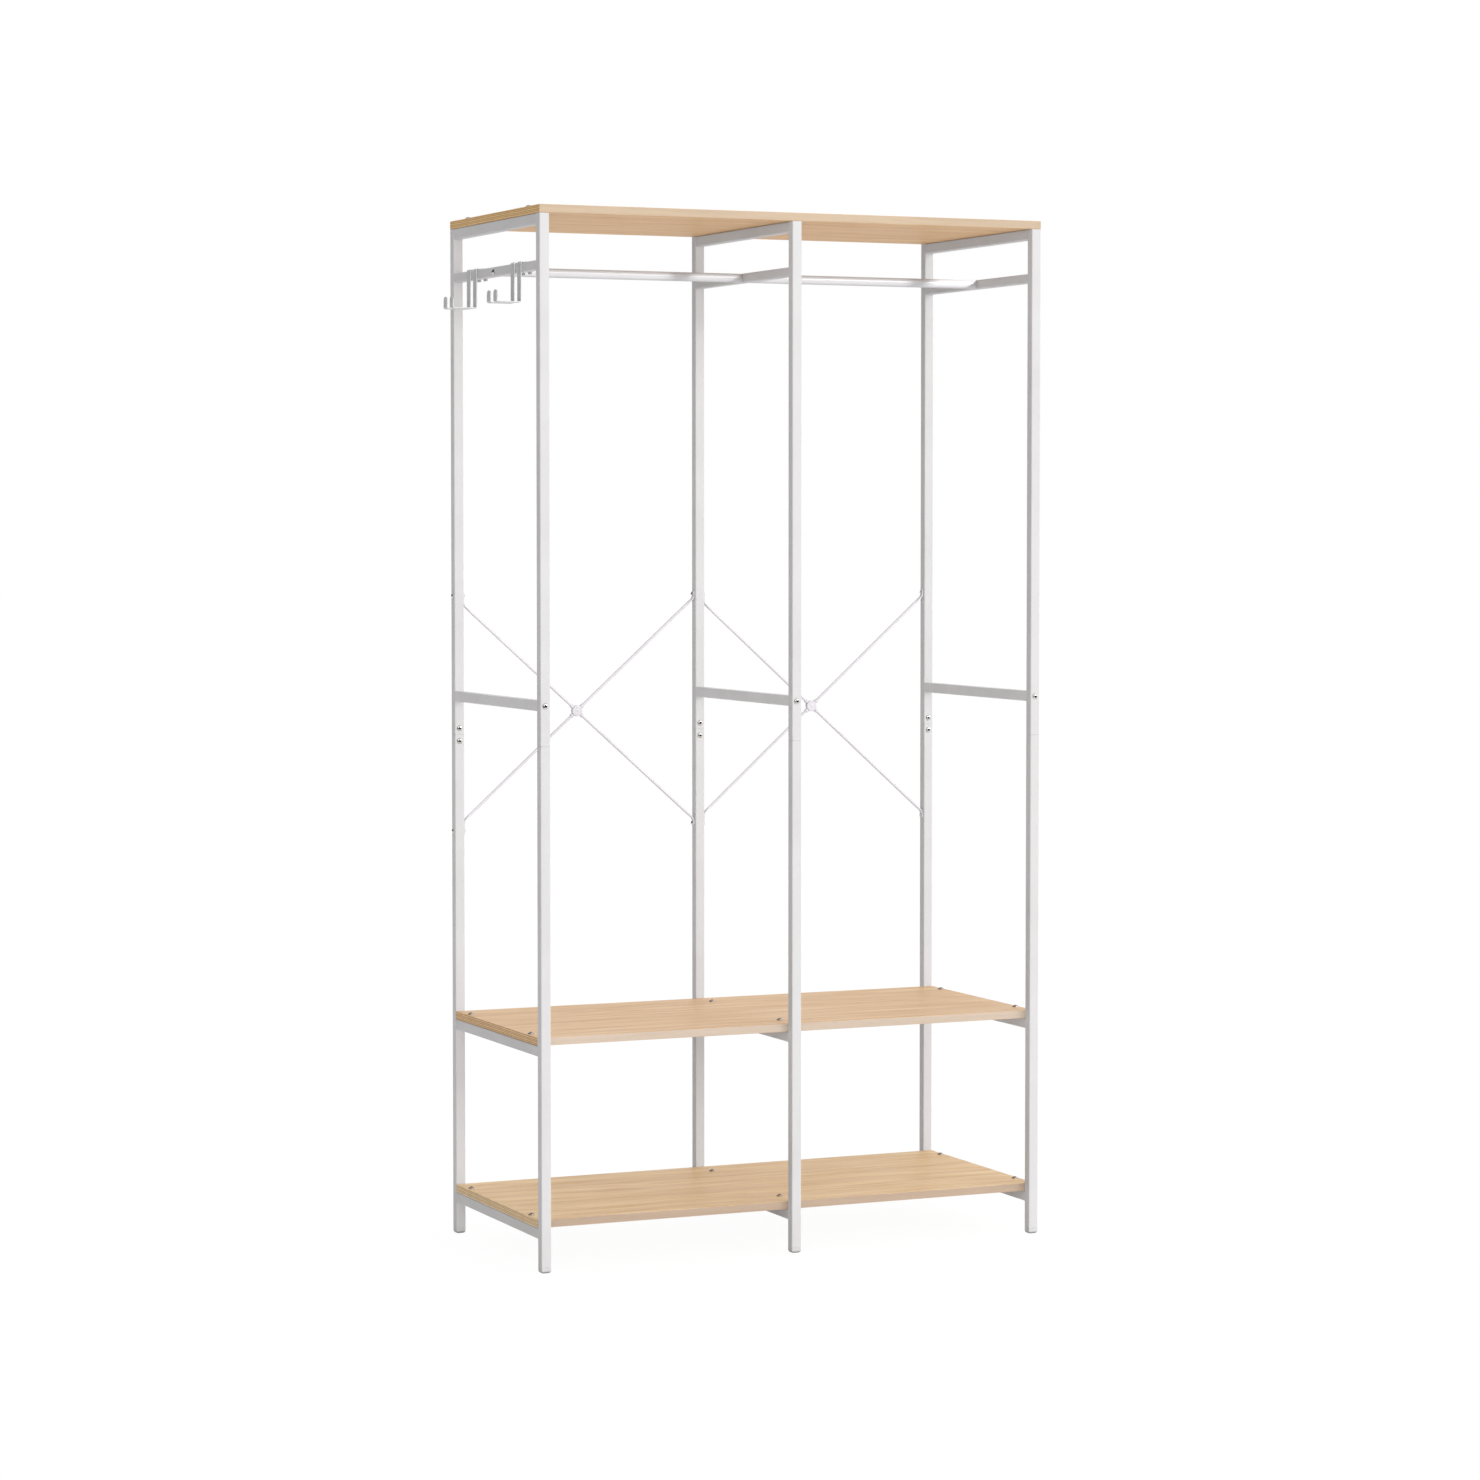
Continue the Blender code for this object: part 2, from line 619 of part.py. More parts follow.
def cross_brace(rack, bay, left_face, right_face):
    """Four rods with flattened, bent ends, held in the rim of a round hub."""
    hub_x = (left_face + right_face) / 2 - BRACE_SHIFT
    hub_name = "brace_hub_" + bay
    hub_cuts = rack.group(hub_name + "_cuts")
    rim = HUB_DIAMETER / 2
    half = HUB_THICKNESS / 2
    profile = [
        (0.0, half),
        (rim - HUB_EDGE, half),
        (rim, half - HUB_EDGE),
        (rim, HUB_EDGE - half),
        (rim - HUB_EDGE, -half),
        (0.0, -half),
    ]
    centre = Vector((hub_x, BRACE_ROW, HUB_HEIGHT))
    hub = turned(hub_name, rack.parts, profile, facing(centre, (0, -1, 0)), ROUND_STEPS)
    drill(hub_cuts, centre, (0, 1, 0), HUB_HOLE, HUB_THICKNESS * 1.5)
    ends = (("left", left_face, 1.0, LEFT_TONGUE_DROP), ("right", right_face, -1.0, RIGHT_TONGUE_DROP))
    for side, face, way_x, drop in ends:
        for level, height, way_z in (("upper", BRACE_TOP, -1.0), ("lower", BRACE_BOTTOM, 1.0)):
            name = "brace_rod_" + bay + "_" + side + "_" + level
            cuts = rack.group(name + "_cuts")
            rings, along = brace_rod_rings(abs(hub_x - face), abs(HUB_HEIGHT - height), drop)
            placed = []
            for points in rings:
                placed.append([(way_x * px, py, way_z * pz) for px, py, pz in points])
            bolt_place = (face, BRACE_ROW, height)
            rod = loft(name, rack.parts, placed, Matrix.Translation(bolt_place))
            drill(cuts, bolt_place, (1, 0, 0), BRACE_BOLT + 2 * PLAY, POST_WIDTH)
            combine(rod, cuts, "DIFFERENCE")
            rack.add(rod, "brace_white")
            run = Vector((way_x * along.x, 0.0, way_z * along.y))
            bottom = rim - HUB_GRIP - PLAY
            mouth = rim + PLAY
            middle = centre - run * (bottom + mouth) / 2
            drill(hub_cuts, middle, run, BRACE_ROD + 2 * PLAY, mouth - bottom)
    combine(hub, hub_cuts, "DIFFERENCE")
    rack.add(hub, "hub_metal")


def hook(rack, name, y):
    """A strip over the rail: inner leg, strap, long outer leg, arm and upturned prong."""
    lie = BAR_WIDTH / 2 + SEAT + HOOK_STRIP / 2
    top = RAIL_HEIGHT / 2 + SEAT + HOOK_STRIP / 2
    inner_tip = top + HOOK_STRIP / 2 - HOOK_INNER_LEG - HOOK_STRIP
    arm = top - HOOK_DROP
    prong = HOOK_STRIP / 2 - POST_WIDTH / 2 - HOOK_REACH
    tip = arm + HOOK_PRONG - HOOK_STRIP / 2
    corners = [(lie, inner_tip), (lie, top), (-lie, top), (-lie, arm), (prong, arm), (prong, tip)]
    path = rounded_path(corners, HOOK_BEND)
    half = HOOK_WIDTH / 2
    rings = []
    for index, centre in enumerate(path):
        before = path[max(index - 1, 0)]
        after = path[min(index + 1, len(path) - 1)]
        run = (after - before).normalized()
        side = Vector((run.y, -run.x)) * HOOK_STRIP / 2
        out = centre + side
        back = centre - side
        ring = [(out.x, -half, out.y), (out.x, half, out.y)]
        ring += [(back.x, half, back.y), (back.x, -half, back.y)]
        rings.append(ring)
    place = Matrix.Translation((FRAMES["left"], y, ROD_AXIS))
    made = loft(name, rack.parts, rings, place)
    bm = bmesh.new()
    bm.from_mesh(made.data)
    edges = []
    for edge in bm.edges:
        first, second = edge.verts
        at_tip = min(first.co.z, second.co.z) > tip - HOOK_STRIP / 4 and first.co.x < prong + HOOK_STRIP
        if at_tip and abs(first.co.y - second.co.y) < HOOK_STRIP / 2:
            edges.append(edge)
    bmesh.ops.bevel(bm, geom=edges, offset=HOOK_TIP, segments=BEND_STEPS, profile=0.5, affect="EDGES")
    bm.to_mesh(made.data)
    bm.free()
    made.data.shade_smooth()
    made.data.set_sharp_from_angle(angle=radians(48))
    rack.add(made, "hook_grey")


def main():
    clear_scene()
    rack = Rack()
    for side, x in FRAMES.items():
        upper_frame(rack, side, x)
        lower_frame(rack, side, x)
        cross_bar(rack, side, x)
        cross_bar_bolts(rack, side, x)
        for row, y in ROWS.items():
            joint_sleeve(rack, side, row, x, y)
            foot(rack, side, row, x, y)
    board(rack, "top_board", HALF_DEPTH, RACK_HEIGHT, TOP_THICKNESS)
    shelf_depth = INNER_DEPTH - SEAT
    board(rack, "middle_shelf", shelf_depth, MIDDLE_SHELF_TOP, SHELF_THICKNESS)
    board(rack, "bottom_shelf", shelf_depth, BOTTOM_SHELF_TOP, SHELF_THICKNESS)
    for bay, low, high in (("left", "left", "middle"), ("right", "middle", "right")):
        hanging_rod(rack, bay, FRAMES[low], FRAMES[high])
        cross_brace(rack, bay, FRAMES[low] + POST_WIDTH / 2, FRAMES[high] - POST_WIDTH / 2)
    rod_bolts(rack)
    brace_bolts(rack)
    first = -INNER_DEPTH + HOOK_FRONT_INSET + HOOK_WIDTH / 2
    last = INNER_DEPTH - HOOK_BACK_INSET - HOOK_WIDTH / 2
    hook(rack, "hook_1", first)
    hook(rack, "hook_2", first + HOOK_PITCH)
    hook(rack, "hook_3", last - HOOK_PITCH)
    hook(rack, "hook_4", last)
    rack.finish()


main()
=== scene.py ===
"""The finished look of an open garment rack: tube frames, oak boards, rods, braces and hooks.

The file is laid out as an add-on. Each operator builds one group of pieces in place of its CAD
nodes, and the sizes and colours that a user would change stand in the settings.
"""

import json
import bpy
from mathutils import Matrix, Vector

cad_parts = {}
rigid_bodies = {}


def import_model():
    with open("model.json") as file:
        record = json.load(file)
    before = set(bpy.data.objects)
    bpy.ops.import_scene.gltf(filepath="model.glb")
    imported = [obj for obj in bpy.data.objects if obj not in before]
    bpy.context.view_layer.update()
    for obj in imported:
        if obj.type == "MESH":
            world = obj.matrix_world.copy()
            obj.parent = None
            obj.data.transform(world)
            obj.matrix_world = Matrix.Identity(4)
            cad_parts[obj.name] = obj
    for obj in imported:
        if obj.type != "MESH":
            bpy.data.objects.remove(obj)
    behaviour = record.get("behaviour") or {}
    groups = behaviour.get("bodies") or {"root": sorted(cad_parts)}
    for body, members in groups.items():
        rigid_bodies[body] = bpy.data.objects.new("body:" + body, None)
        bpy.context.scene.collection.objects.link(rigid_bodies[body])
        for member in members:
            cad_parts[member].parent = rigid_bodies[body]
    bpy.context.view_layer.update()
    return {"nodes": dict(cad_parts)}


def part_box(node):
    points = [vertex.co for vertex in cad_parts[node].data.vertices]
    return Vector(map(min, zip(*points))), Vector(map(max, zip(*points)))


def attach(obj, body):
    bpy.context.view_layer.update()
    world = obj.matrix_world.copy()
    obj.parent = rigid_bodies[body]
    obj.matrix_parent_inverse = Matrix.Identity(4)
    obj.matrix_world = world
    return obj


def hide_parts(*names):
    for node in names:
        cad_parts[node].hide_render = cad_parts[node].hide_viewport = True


bl_info = {
    "name": "Garment Rack Finish",
    "version": (1, 0, 0),
    "blender": (4, 5, 0),
    "location": "3D View > Sidebar > Garment Rack",
    "description": "Builds the finished pieces of the open garment rack and a small studio round it",
    "category": "Add Mesh",
}

from functools import wraps
from math import cos, pi, radians, sin, sqrt, tan

import bmesh
import bpy
from bpy.props import FloatProperty, FloatVectorProperty, IntProperty, PointerProperty
from mathutils import Matrix, Vector

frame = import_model()

SIDES = ("left", "middle", "right")
ROWS = ("front", "back")
LEVELS = ("upper", "lower")
WAYS = (-1.0, 1.0)
BAYS = {"left": ("left", "middle"), "right": ("middle", "right")}
BOARDS = ("top_board", "middle_shelf", "bottom_shelf")
INWARD = {"front": 1.0, "back": -1.0}

# The directions of a hole: along the width, the depth or the height of the rack.
ACROSS = (1, 0, 0)
DEEP = (0, 1, 0)
UP = (0, 0, 1)


def low(node):
    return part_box(node)[0]


def high(node):
    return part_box(node)[1]


def middle(node):
    return (low(node) + high(node)) / 2


def half_size(node, axis):
    return (high(node)[axis] - low(node)[axis]) / 2


# Places and sizes that the CAD frame gives.
FRAME_X = {side: middle("cross_bar_" + side).x for side in SIDES}
ROW_Y = {row: middle("foot_left_" + row).y for row in ROWS}
BRACE_Z = {level: middle("brace_bolt_left_" + level).z for level in LEVELS}
POST = high("foot_left_front") - low("foot_left_front")
BAR = high("cross_bar_left") - low("cross_bar_left")
POST_TOP = high("upper_frame_left").z
SEAM = (low("upper_frame_left").z + high("lower_frame_left").z) / 2
ROD_AXIS = middle("hanging_rod_left").z
CROSS_AXIS = middle("cross_bar_left").z
INNER_Y = ROW_Y["back"] - POST.y / 2
CLEARANCE = low("top_board").z - POST_TOP

# Diameters of the holes, and lengths of the drills that cut them, each centred on its own place.
BOLT_HOLE = 0.0066
THREADED_HOLE = 0.0064
BRACE_HOLE = 0.0056
SLEEVE_HOLE = 0.0046
ONE_WALL = 0.006
THROUGH_TONGUE = 0.012
RIGHT_THROUGH = 0.03
BORE_IN_BAR = 0.032

# Tones of each board (flat faces, long edges, end edges): partly the oak's own tone, partly painted
# light that evens out how the lamps reach each board.
BOARD_TONES_AND_LIGHT = {
    "top_board": ((1.03, 0.955, 0.83), (1.0, 0.98, 0.915), (1.02, 1.01, 0.885)),
    "middle_shelf": ((1.0, 0.99, 0.98), (1.06, 1.10, 1.17), (1.0, 1.0, 1.0)),
    "bottom_shelf": ((1.08, 1.13, 1.10), (0.86, 0.82, 0.81), (1.25, 1.25, 1.4)),
}

# Level directions in the room, seen from the rack.
FRONT_RIGHT = (0.55, -0.83, 0.0)
BEHIND = (0.45, 0.89, 0.0)
BACK_LEFT = (-0.82, 0.572, 0.0)
CARD_LEFT = (-0.97, -0.24, 0.0)
FLOOR_CARD_LEFT = (-0.92, -0.40, 0.0)

KEY_PLACE = (2.5, -3.6, 3.2)
KEY_AIM = Vector((-0.50, 0.76, -0.31))
CAMERA_PLACE = (-2.87754, -6.464, 1.2725)
FLOOR_RADIUS = 60.0
WHITE = (1.0, 1.0, 1.0)


# Settings


def length(name, description, default, least=0.0, most=1.0):
    """A setting in metres."""
    return FloatProperty(
        name=name, description=description, default=default, min=least, max=most,
        precision=5, subtype="DISTANCE", unit="LENGTH",
    )


def share(name, description, default, most=1.0):
    """A setting that is a plain share or strength."""
    return FloatProperty(name=name, description=description, default=default, min=0.0, max=most)


def rotation(name, description, default):
    """A setting in degrees."""
    return FloatProperty(
        name=name, description=description, default=radians(default), subtype="ANGLE", unit="ROTATION"
    )


def colour(name, description, default):
    return FloatVectorProperty(
        name=name, description=description, default=default, min=0.0, max=1.0, size=3, subtype="COLOR"
    )


class TubeSettings(bpy.types.PropertyGroup):
    """Sizes and paint of the welded tube frames."""

    corner: length("Tube Corner", "Outer radius of the long corners", 0.002, 0.0003, 0.006)
    wall: length("Tube Wall", "Thickness of the steel", 0.001, 0.0005, 0.002)
    ease: length("Cut Edge", "Rounding of the sawn ends of a tube", 0.0004, 0.0001, 0.001)
    rail_height: length("Rail Height", "Height of the bar that carries the rods", 0.016, 0.01, 0.03)
    bead: length("Weld Bead", "Radius of the weld where a bar meets a post", 0.0008, 0.0002, 0.003)
    paint: colour("Paint", "Colour of the powder coat", (0.632, 0.620, 0.622))
    paint_deep: colour("Paint Shade", "Colour of its faint darker patches", (0.597, 0.584, 0.586))


class BoardSettings(bpy.types.PropertyGroup):
    """Edges and colours of the three boards."""

    edge: length("Board Edge", "Rounding of the edges of a board", 0.0008, 0.0002, 0.004)
    wood: colour("Wood", "Colour of the flat faces", (0.825, 0.567, 0.322))
    grain: colour("Grain", "Colour of the darker grain on the faces", (0.65, 0.38, 0.185))
    long_edge: colour("Long Edge", "Colour of the front and back edges", (0.565, 0.437, 0.322))
    short_edge: colour("End Edge", "Colour of the left and right edges", (0.90, 0.64, 0.37))
    layer: length("Edge Layer", "Height of one layer in the end edges", 0.0029, 0.001, 0.01)


class RodSettings(bpy.types.PropertyGroup):
    """The two hanging rods."""

    wall: length("Rod Wall", "Thickness of the rod's tube", 0.0012, 0.0005, 0.003)
    ease: length("Rod Edge", "Rounding of the rod's ends", 0.0006, 0.0001, 0.002)
    enamel: colour("Enamel", "Colour of the rods", (0.645, 0.636, 0.648))


class BraceSettings(bpy.types.PropertyGroup):
    """Cross braces: bent rods with flattened ends, and a hub in each bay."""

    rod: length("Brace Rod", "Diameter of a brace rod", 0.005, 0.003, 0.01)
    tongue_width: length("Tongue Width", "Width of the flattened end", 0.0098, 0.006, 0.016)
    tongue: length("Tongue Thickness", "Thickness of the flattened end", 0.002, 0.001, 0.004)
    bend: length("Tongue Bend", "Radius of the bend after the tongue", 0.008, 0.003, 0.02)
    flattened: length("Flattened Length", "Stretch in which the rod turns flat", 0.015, 0.005, 0.03)
    left_drop: length("Left Drop", "Bolt to bend, on the left of a bay", 0.0165, 0.005, 0.03)
    right_drop: length("Right Drop", "Bolt to bend, on the right of a bay", 0.0078, 0.005, 0.03)
    collar: length("Collar", "Diameter of the nut beside the hub", 0.0074, 0.005, 0.012)
    collar_length: length("Collar Length", "Length of that nut", 0.005, 0.002, 0.01)
    grip: length("Hub Grip", "How deep a rod enters the hub", 0.005, 0.002, 0.008)
    rivet: length("Hub Rivet", "Head of the rivet in the middle of the hub", 0.005, 0.002, 0.008)
    paint: colour("Brace Paint", "Colour of the rods and hubs", (0.72, 0.69, 0.73))


class HookSettings(bpy.types.PropertyGroup):
    """Four hooks bent from flat strip."""

    strip: length("Strip", "Thickness of the strip", 0.002, 0.001, 0.004)
    bend: length("Strip Bend", "Middle radius of the bends", 0.0024, 0.0015, 0.006)
    inner_leg: length("Inner Leg", "Length of the leg behind the rail", 0.0195, 0.01, 0.04)
    prong: length("Prong", "Height of the upturned end", 0.0215, 0.01, 0.05)
    tip: length("Tip", "Rounding of the upturned end", 0.0075, 0.001, 0.008)
    cut: length("Cut End", "Rounding of the other end", 0.0015, 0.0005, 0.008)
    edge: length("Strip Edge", "Rounding of the strip's edges", 0.0004, 0.0001, 0.0009)
    steel: colour("Hook Steel", "Colour of the brushed strip", (0.67, 0.67, 0.67))


class FootSettings(bpy.types.PropertyGroup):
    """The end caps that stand on the floor."""

    rounding: length("Sole Rounding", "Rounding of the edge of the sole", 0.005, 0.001, 0.008)
    # Painted shade: the cap tone is kept a little darker than the tube paint to offset the bright light
    # from the floor. The sole colour is a darker tone painted on the faces that point down.
    cap: colour("Cap", "Colour of the moulded caps", (0.60, 0.59, 0.592))
    sole: colour("Sole", "Colour of the caps underneath", (0.21, 0.206, 0.206))


class FastenerSettings(bpy.types.PropertyGroup):
    """Bolts and screws."""

    cross_head: length("Cross Bar Head", "Head of a cross bar bolt", 0.0105, 0.006, 0.016)
    rod_head: length("Rod Head", "Head of a rod bolt", 0.0115, 0.006, 0.016)
    brace_head: length("Brace Head", "Head of a brace bolt", 0.009, 0.006, 0.016)
    board_head: length("Board Head", "Head of a board screw", 0.0108, 0.006, 0.016)
    sleeve_head: length("Sleeve Head", "Head of a sleeve screw", 0.0102, 0.004, 0.012)
    board_inset: length("Board Inset", "Rack's face to a board screw", 0.071, 0.03, 0.12)
    sleeve_pitch: length("Sleeve Pitch", "Between the two sleeve screws", 0.0226, 0.015, 0.04)
    seed: IntProperty(name="Turn Seed", description="Seed of how far each head is turned", default=7)
    zinc: colour("Zinc", "Colour of the plated heads", (0.84, 0.83, 0.82))
    # The board screws' colour is a darker, brown-tinted copy of the zinc: painted shade and painted
    # reflection of the wood.
    board_zinc: colour("Board Zinc", "Colour of the board screws' heads", (0.46, 0.41, 0.37))


class StageSettings(bpy.types.PropertyGroup):
    """Floor, light and camera."""

    floor: colour("Floor", "Colour of the floor", (0.90, 0.90, 0.90))
    fill: share("Fill Light", "Light from all round the rack", 0.55, 10.0)
    fill_lean: share("Fill Lean", "How much more of it comes from the front right", 0.33)
    top_light: share("Top Light", "Extra light from above", 0.46, 10.0)
    rear_light: share("Rear Light", "Extra light from behind the rack", 0.28, 10.0)
    flag: share("Flag", "Light that is left where a dark board stands, at the back left", 0.02)
    card: share("Card", "How dark the left of the room looks in the bright metal", 0.9)
    key: share("Key Light", "Strength of the soft light from the front right", 0.50, 20.0)
    open_key: share("Open Key Light", "The part of the same light that throws no shadows", 0.84, 20.0)
    rod_key: share("Rod Key Light", "The same light on the rods, with crisp shadows", 3.3, 20.0)
    floor_shade: share("Floor Shade", "How much of the rack's shadow the floor shows", 0.08)
    key_spread: rotation("Key Spread", "How wide the key light looks from the rack", 15.0)
    lens: FloatProperty(
        name="Lens", description="Focal length on a 36 mm wide sensor",
        default=97.077, min=20.0, max=300.0, unit="CAMERA",
    )
    turn: rotation("Camera Turn", "How far the camera looks to the right of the rack's depth", 24.0776)
    tilt: rotation("Camera Tilt", "How far the camera looks down", 2.5184)


class GarmentRackSettings(bpy.types.PropertyGroup):
    """All settings of the rack."""

    tubes: PointerProperty(type=TubeSettings)
    boards: PointerProperty(type=BoardSettings)
    rods: PointerProperty(type=RodSettings)
    braces: PointerProperty(type=BraceSettings)
    hooks: PointerProperty(type=HookSettings)
    feet: PointerProperty(type=FootSettings)
    fasteners: PointerProperty(type=FastenerSettings)
    stage: PointerProperty(type=StageSettings)


# Nodes


def add_node(tree, kind, inputs=(), **settings):
    """Add a node, set its settings, then set or link its inputs by name or number."""
    made = tree.nodes.new(kind)
    for key, value in settings.items():
        setattr(made, key, value)
    for key, value in dict(inputs).items():
        socket = made.inputs[key]
        if isinstance(value, bpy.types.NodeSocket):
            tree.links.new(value, socket)
        else:
            socket.default_value = (*value, 1.0) if socket.type == "RGBA" else value
    return made


def value_of(tree, kind, inputs=(), output=0, **settings):
    """One output of a new node."""
    return add_node(tree, kind, inputs, **settings).outputs[output]


def math_node(tree, operation, first, second=0.0, clamp=False):
    inputs = {0: first, 1: second}
    return value_of(tree, "ShaderNodeMath", inputs, operation=operation, use_clamp=clamp)


def times(tree, first, second):
    return math_node(tree, "MULTIPLY", first, second)


def plus(tree, first, second, clamp=False):
    return math_node(tree, "ADD", first, second, clamp)


def minus(tree, first, second):
    return math_node(tree, "SUBTRACT", first, second)


def swing(tree, value, amount):
    """A value from 0 to 1 moved round zero, so that it swings over an amount."""
    return times(tree, minus(tree, value, 0.5), amount)


def mixed(tree, factor, first, second, blend="MIX"):
    """A mix of two colours."""
    inputs = {0: factor, 6: first, 7: second}
    return value_of(tree, "ShaderNodeMix", inputs, 2, data_type="RGBA", blend_type=blend)


def between(tree, value, start, end, new_start=0.0, new_end=1.0):
    """Stretch a range of values to another range, without leaving it."""
    inputs = {"Value": value, "From Min": start, "From Max": end, "To Min": new_start, "To Max": new_end}
    return value_of(tree, "ShaderNodeMapRange", inputs)


def along(tree, vector, direction):
    """How far a vector reaches in a direction."""
    inputs = {0: vector, 1: direction}
    return value_of(tree, "ShaderNodeVectorMath", inputs, "Value", operation="DOT_PRODUCT")


def toward(tree, vector, direction, *ranges):
    """A value that changes with how far a vector reaches in a direction."""
    return between(tree, along(tree, vector, direction), *ranges)


def part_of(tree, vector, axis):
    return value_of(tree, "ShaderNodeSeparateXYZ", {0: vector}, axis)


def noise(tree, vector, scale, detail=2.0, distortion=0.0):
    inputs = {"Vector": vector, "Scale": scale, "Detail": detail, "Distortion": distortion}
    return value_of(tree, "ShaderNodeTexNoise", inputs)


def long_noise(tree, vector, scales, detail=2.0, distortion=0.0):
    """Noise with its own number of grains per metre along each axis."""
    inputs = {"Vector": vector, "Scale": scales}
    scaled = value_of(tree, "ShaderNodeMapping", inputs, vector_type="POINT")
    return noise(tree, scaled, 1.0, detail, distortion)


def object_place(tree):
    return tree.nodes.new("ShaderNodeTexCoord").outputs["Object"]


def named(tree, attribute, kind="FLOAT"):
    inputs = {"Name": attribute}
    return value_of(tree, "GeometryNodeInputNamedAttribute", inputs, "Attribute", data_type=kind)


def socket_kind(default):
    """The kind of socket that fits a default, which for some sockets is the word for the kind."""
    if isinstance(default, str):
        return "NodeSocket" + default
    if isinstance(default, tuple):
        return "NodeSocketColor" if len(default) == 4 else "NodeSocketVector"
    return "NodeSocketInt" if isinstance(default, int) else "NodeSocketFloat"


def node_group(name, kind, inputs, outputs):
    """Turn a function that fills a node tree into one that returns the tree, which it makes once.

    The function gets the tree and its named inputs, and returns its named outputs.
    """

    def wrap(fill):
        @wraps(fill)
        def group():
            if name in bpy.data.node_groups:
                return bpy.data.node_groups[name]
            tree = bpy.data.node_groups.new(name, kind)
            for way, sockets in (("INPUT", inputs), ("OUTPUT", outputs)):
                for label, default in sockets.items():
                    socket = tree.interface.new_socket(
                        name=label, in_out=way, socket_type=socket_kind(default)
                    )
                    if not isinstance(default, str):
                        socket.default_value = default
            given = tree.nodes.new("NodeGroupInput").outputs
            result = tree.nodes.new("NodeGroupOutput").inputs
            for label, value in fill(tree, given).items():
                tree.links.new(value, result[label])
            return tree

        return group

    return wrap


def skin_group(name, inputs):
    """A shader group for the skin of a piece."""
    return node_group(
        name, "ShaderNodeTree", inputs, {"Colour": "Color", "Roughness": "Float", "Normal": "Vector"}
    )


def skin_outputs(tree, given, tone, roughness, height, depth=0.0002):
    """The outputs of a skin group, its surface raised by a height map."""
    relief = {"Strength": given["Relief"], "Distance": depth, "Height": height}
    return {"Colour": tone, "Roughness": roughness, "Normal": value_of(tree, "ShaderNodeBump", relief)}


def mesh_group(name, inputs):
    """A geometry group that makes a piece in one finish."""
    inputs = {"Geometry": "Geometry", **inputs, "Finish": "Material"}
    return node_group(name, "GeometryNodeTree", inputs, {"Geometry": "Geometry"})


def mesh_outputs(tree, given, geometry):
    """The output of a geometry group, made plain and given its finish."""
    plain = value_of(tree, "GeometryNodeRealizeInstances", {"Geometry": geometry})
    values = {"Geometry": plain, "Material": given["Finish"]}
    return {"Geometry": value_of(tree, "GeometryNodeSetMaterial", values)}


# Skins


@skin_group(
    "coat_skin",
    {
        "Colour": (0.8, 0.8, 0.8, 1.0),
        "Patch Colour": (0.75, 0.75, 0.75, 1.0),
        "Patches per Metre": 9.0,
        "Grains per Metre": 1300.0,
        "Speck Amount": 0.3,
        "Roughness": 0.4,
        "Roughness Spread": 0.12,
        "Relief": 0.1,
    },
)
def coat_skin(tree, given):
    """A sprayed or moulded skin: faint patches, fine specks and an orange peel surface."""
    place = object_place(tree)
    patch = between(tree, noise(tree, place, given["Patches per Metre"], 4.0, 0.3), 0.35, 0.7)
    grain = noise(tree, place, given["Grains per Metre"])
    speck = noise(tree, place, times(tree, given["Grains per Metre"], 0.45), 1.0)
    speck = times(tree, between(tree, speck, 0.68, 0.78), given["Speck Amount"])
    base = mixed(tree, patch, given["Colour"], given["Patch Colour"])
    dark = mixed(tree, 1.0, base, (0.80, 0.79, 0.78), "MULTIPLY")
    uneven = plus(tree, times(tree, patch, 0.5), times(tree, grain, 0.5))
    rough = plus(tree, given["Roughness"], swing(tree, uneven, given["Roughness Spread"]), True)
    return skin_outputs(tree, given, mixed(tree, speck, base, dark), rough, grain)


@node_group("near_edge", "ShaderNodeTree", {"Reach": 0.001, "Breaks per Metre": 60.0}, {"Mask": "Float"})
def near_edge(tree, given):
    """How near a surface point is to an outer edge of its own piece."""
    rounded = value_of(tree, "ShaderNodeBevel", {"Radius": given["Reach"]}, samples=4)
    normal = tree.nodes.new("ShaderNodeNewGeometry").outputs["Normal"]
    edge = between(tree, along(tree, rounded, normal), 0.995, 0.86)
    breaks = noise(tree, object_place(tree), given["Breaks per Metre"], 3.0)
    return {"Mask": times(tree, edge, between(tree, breaks, 0.3, 0.6, 0.35, 1.0))}


@skin_group(
    "oak_grain",
    {
        "Wood": (0.7, 0.5, 0.3, 1.0),
        "Grain": (0.5, 0.33, 0.18, 1.0),
        "Pore": (0.36, 0.2, 0.1, 1.0),
        "Band Amount": 0.5,
        "Streak Amount": 0.5,
        "Pore Amount": 0.5,
        "Roughness": 0.5,
        "Relief": 0.25,
    },
)
def oak_grain(tree, given):
    """Oak cut along X: soft bands, fine streaks and short dark pores."""
    place = object_place(tree)
    drift = swing(tree, long_noise(tree, place, (1.1, 5.0, 5.0)), 0.09)
    shift = value_of(tree, "ShaderNodeCombineXYZ", {1: drift, 2: drift})
    bent = value_of(tree, "ShaderNodeVectorMath", {0: place, 1: shift}, operation="ADD")
    band = between(tree, long_noise(tree, bent, (2.0, 48.0, 48.0), 3.0, 0.4), 0.38, 0.64)
    streak = between(tree, long_noise(tree, bent, (5.5, 170.0, 170.0), 4.0), 0.44, 0.64)
    pore = between(tree, long_noise(tree, bent, (42.0, 1500.0, 1500.0), 1.0), 0.60, 0.70)
    pore = times(tree, pore, between(tree, band, 0.0, 1.0, 0.25, 1.0))
    tone = mixed(tree, times(tree, band, given["Band Amount"]), given["Wood"], given["Grain"])
    tone = mixed(tree, times(tree, streak, given["Streak Amount"]), tone, given["Grain"])
    tone = mixed(tree, times(tree, pore, given["Pore Amount"]), tone, given["Pore"])
    rough = plus(tree, given["Roughness"], times(tree, streak, 0.12))
    rough = plus(tree, rough, times(tree, pore, 0.1), True)
    return skin_outputs(tree, given, tone, rough, minus(tree, times(tree, streak, 0.25), pore))


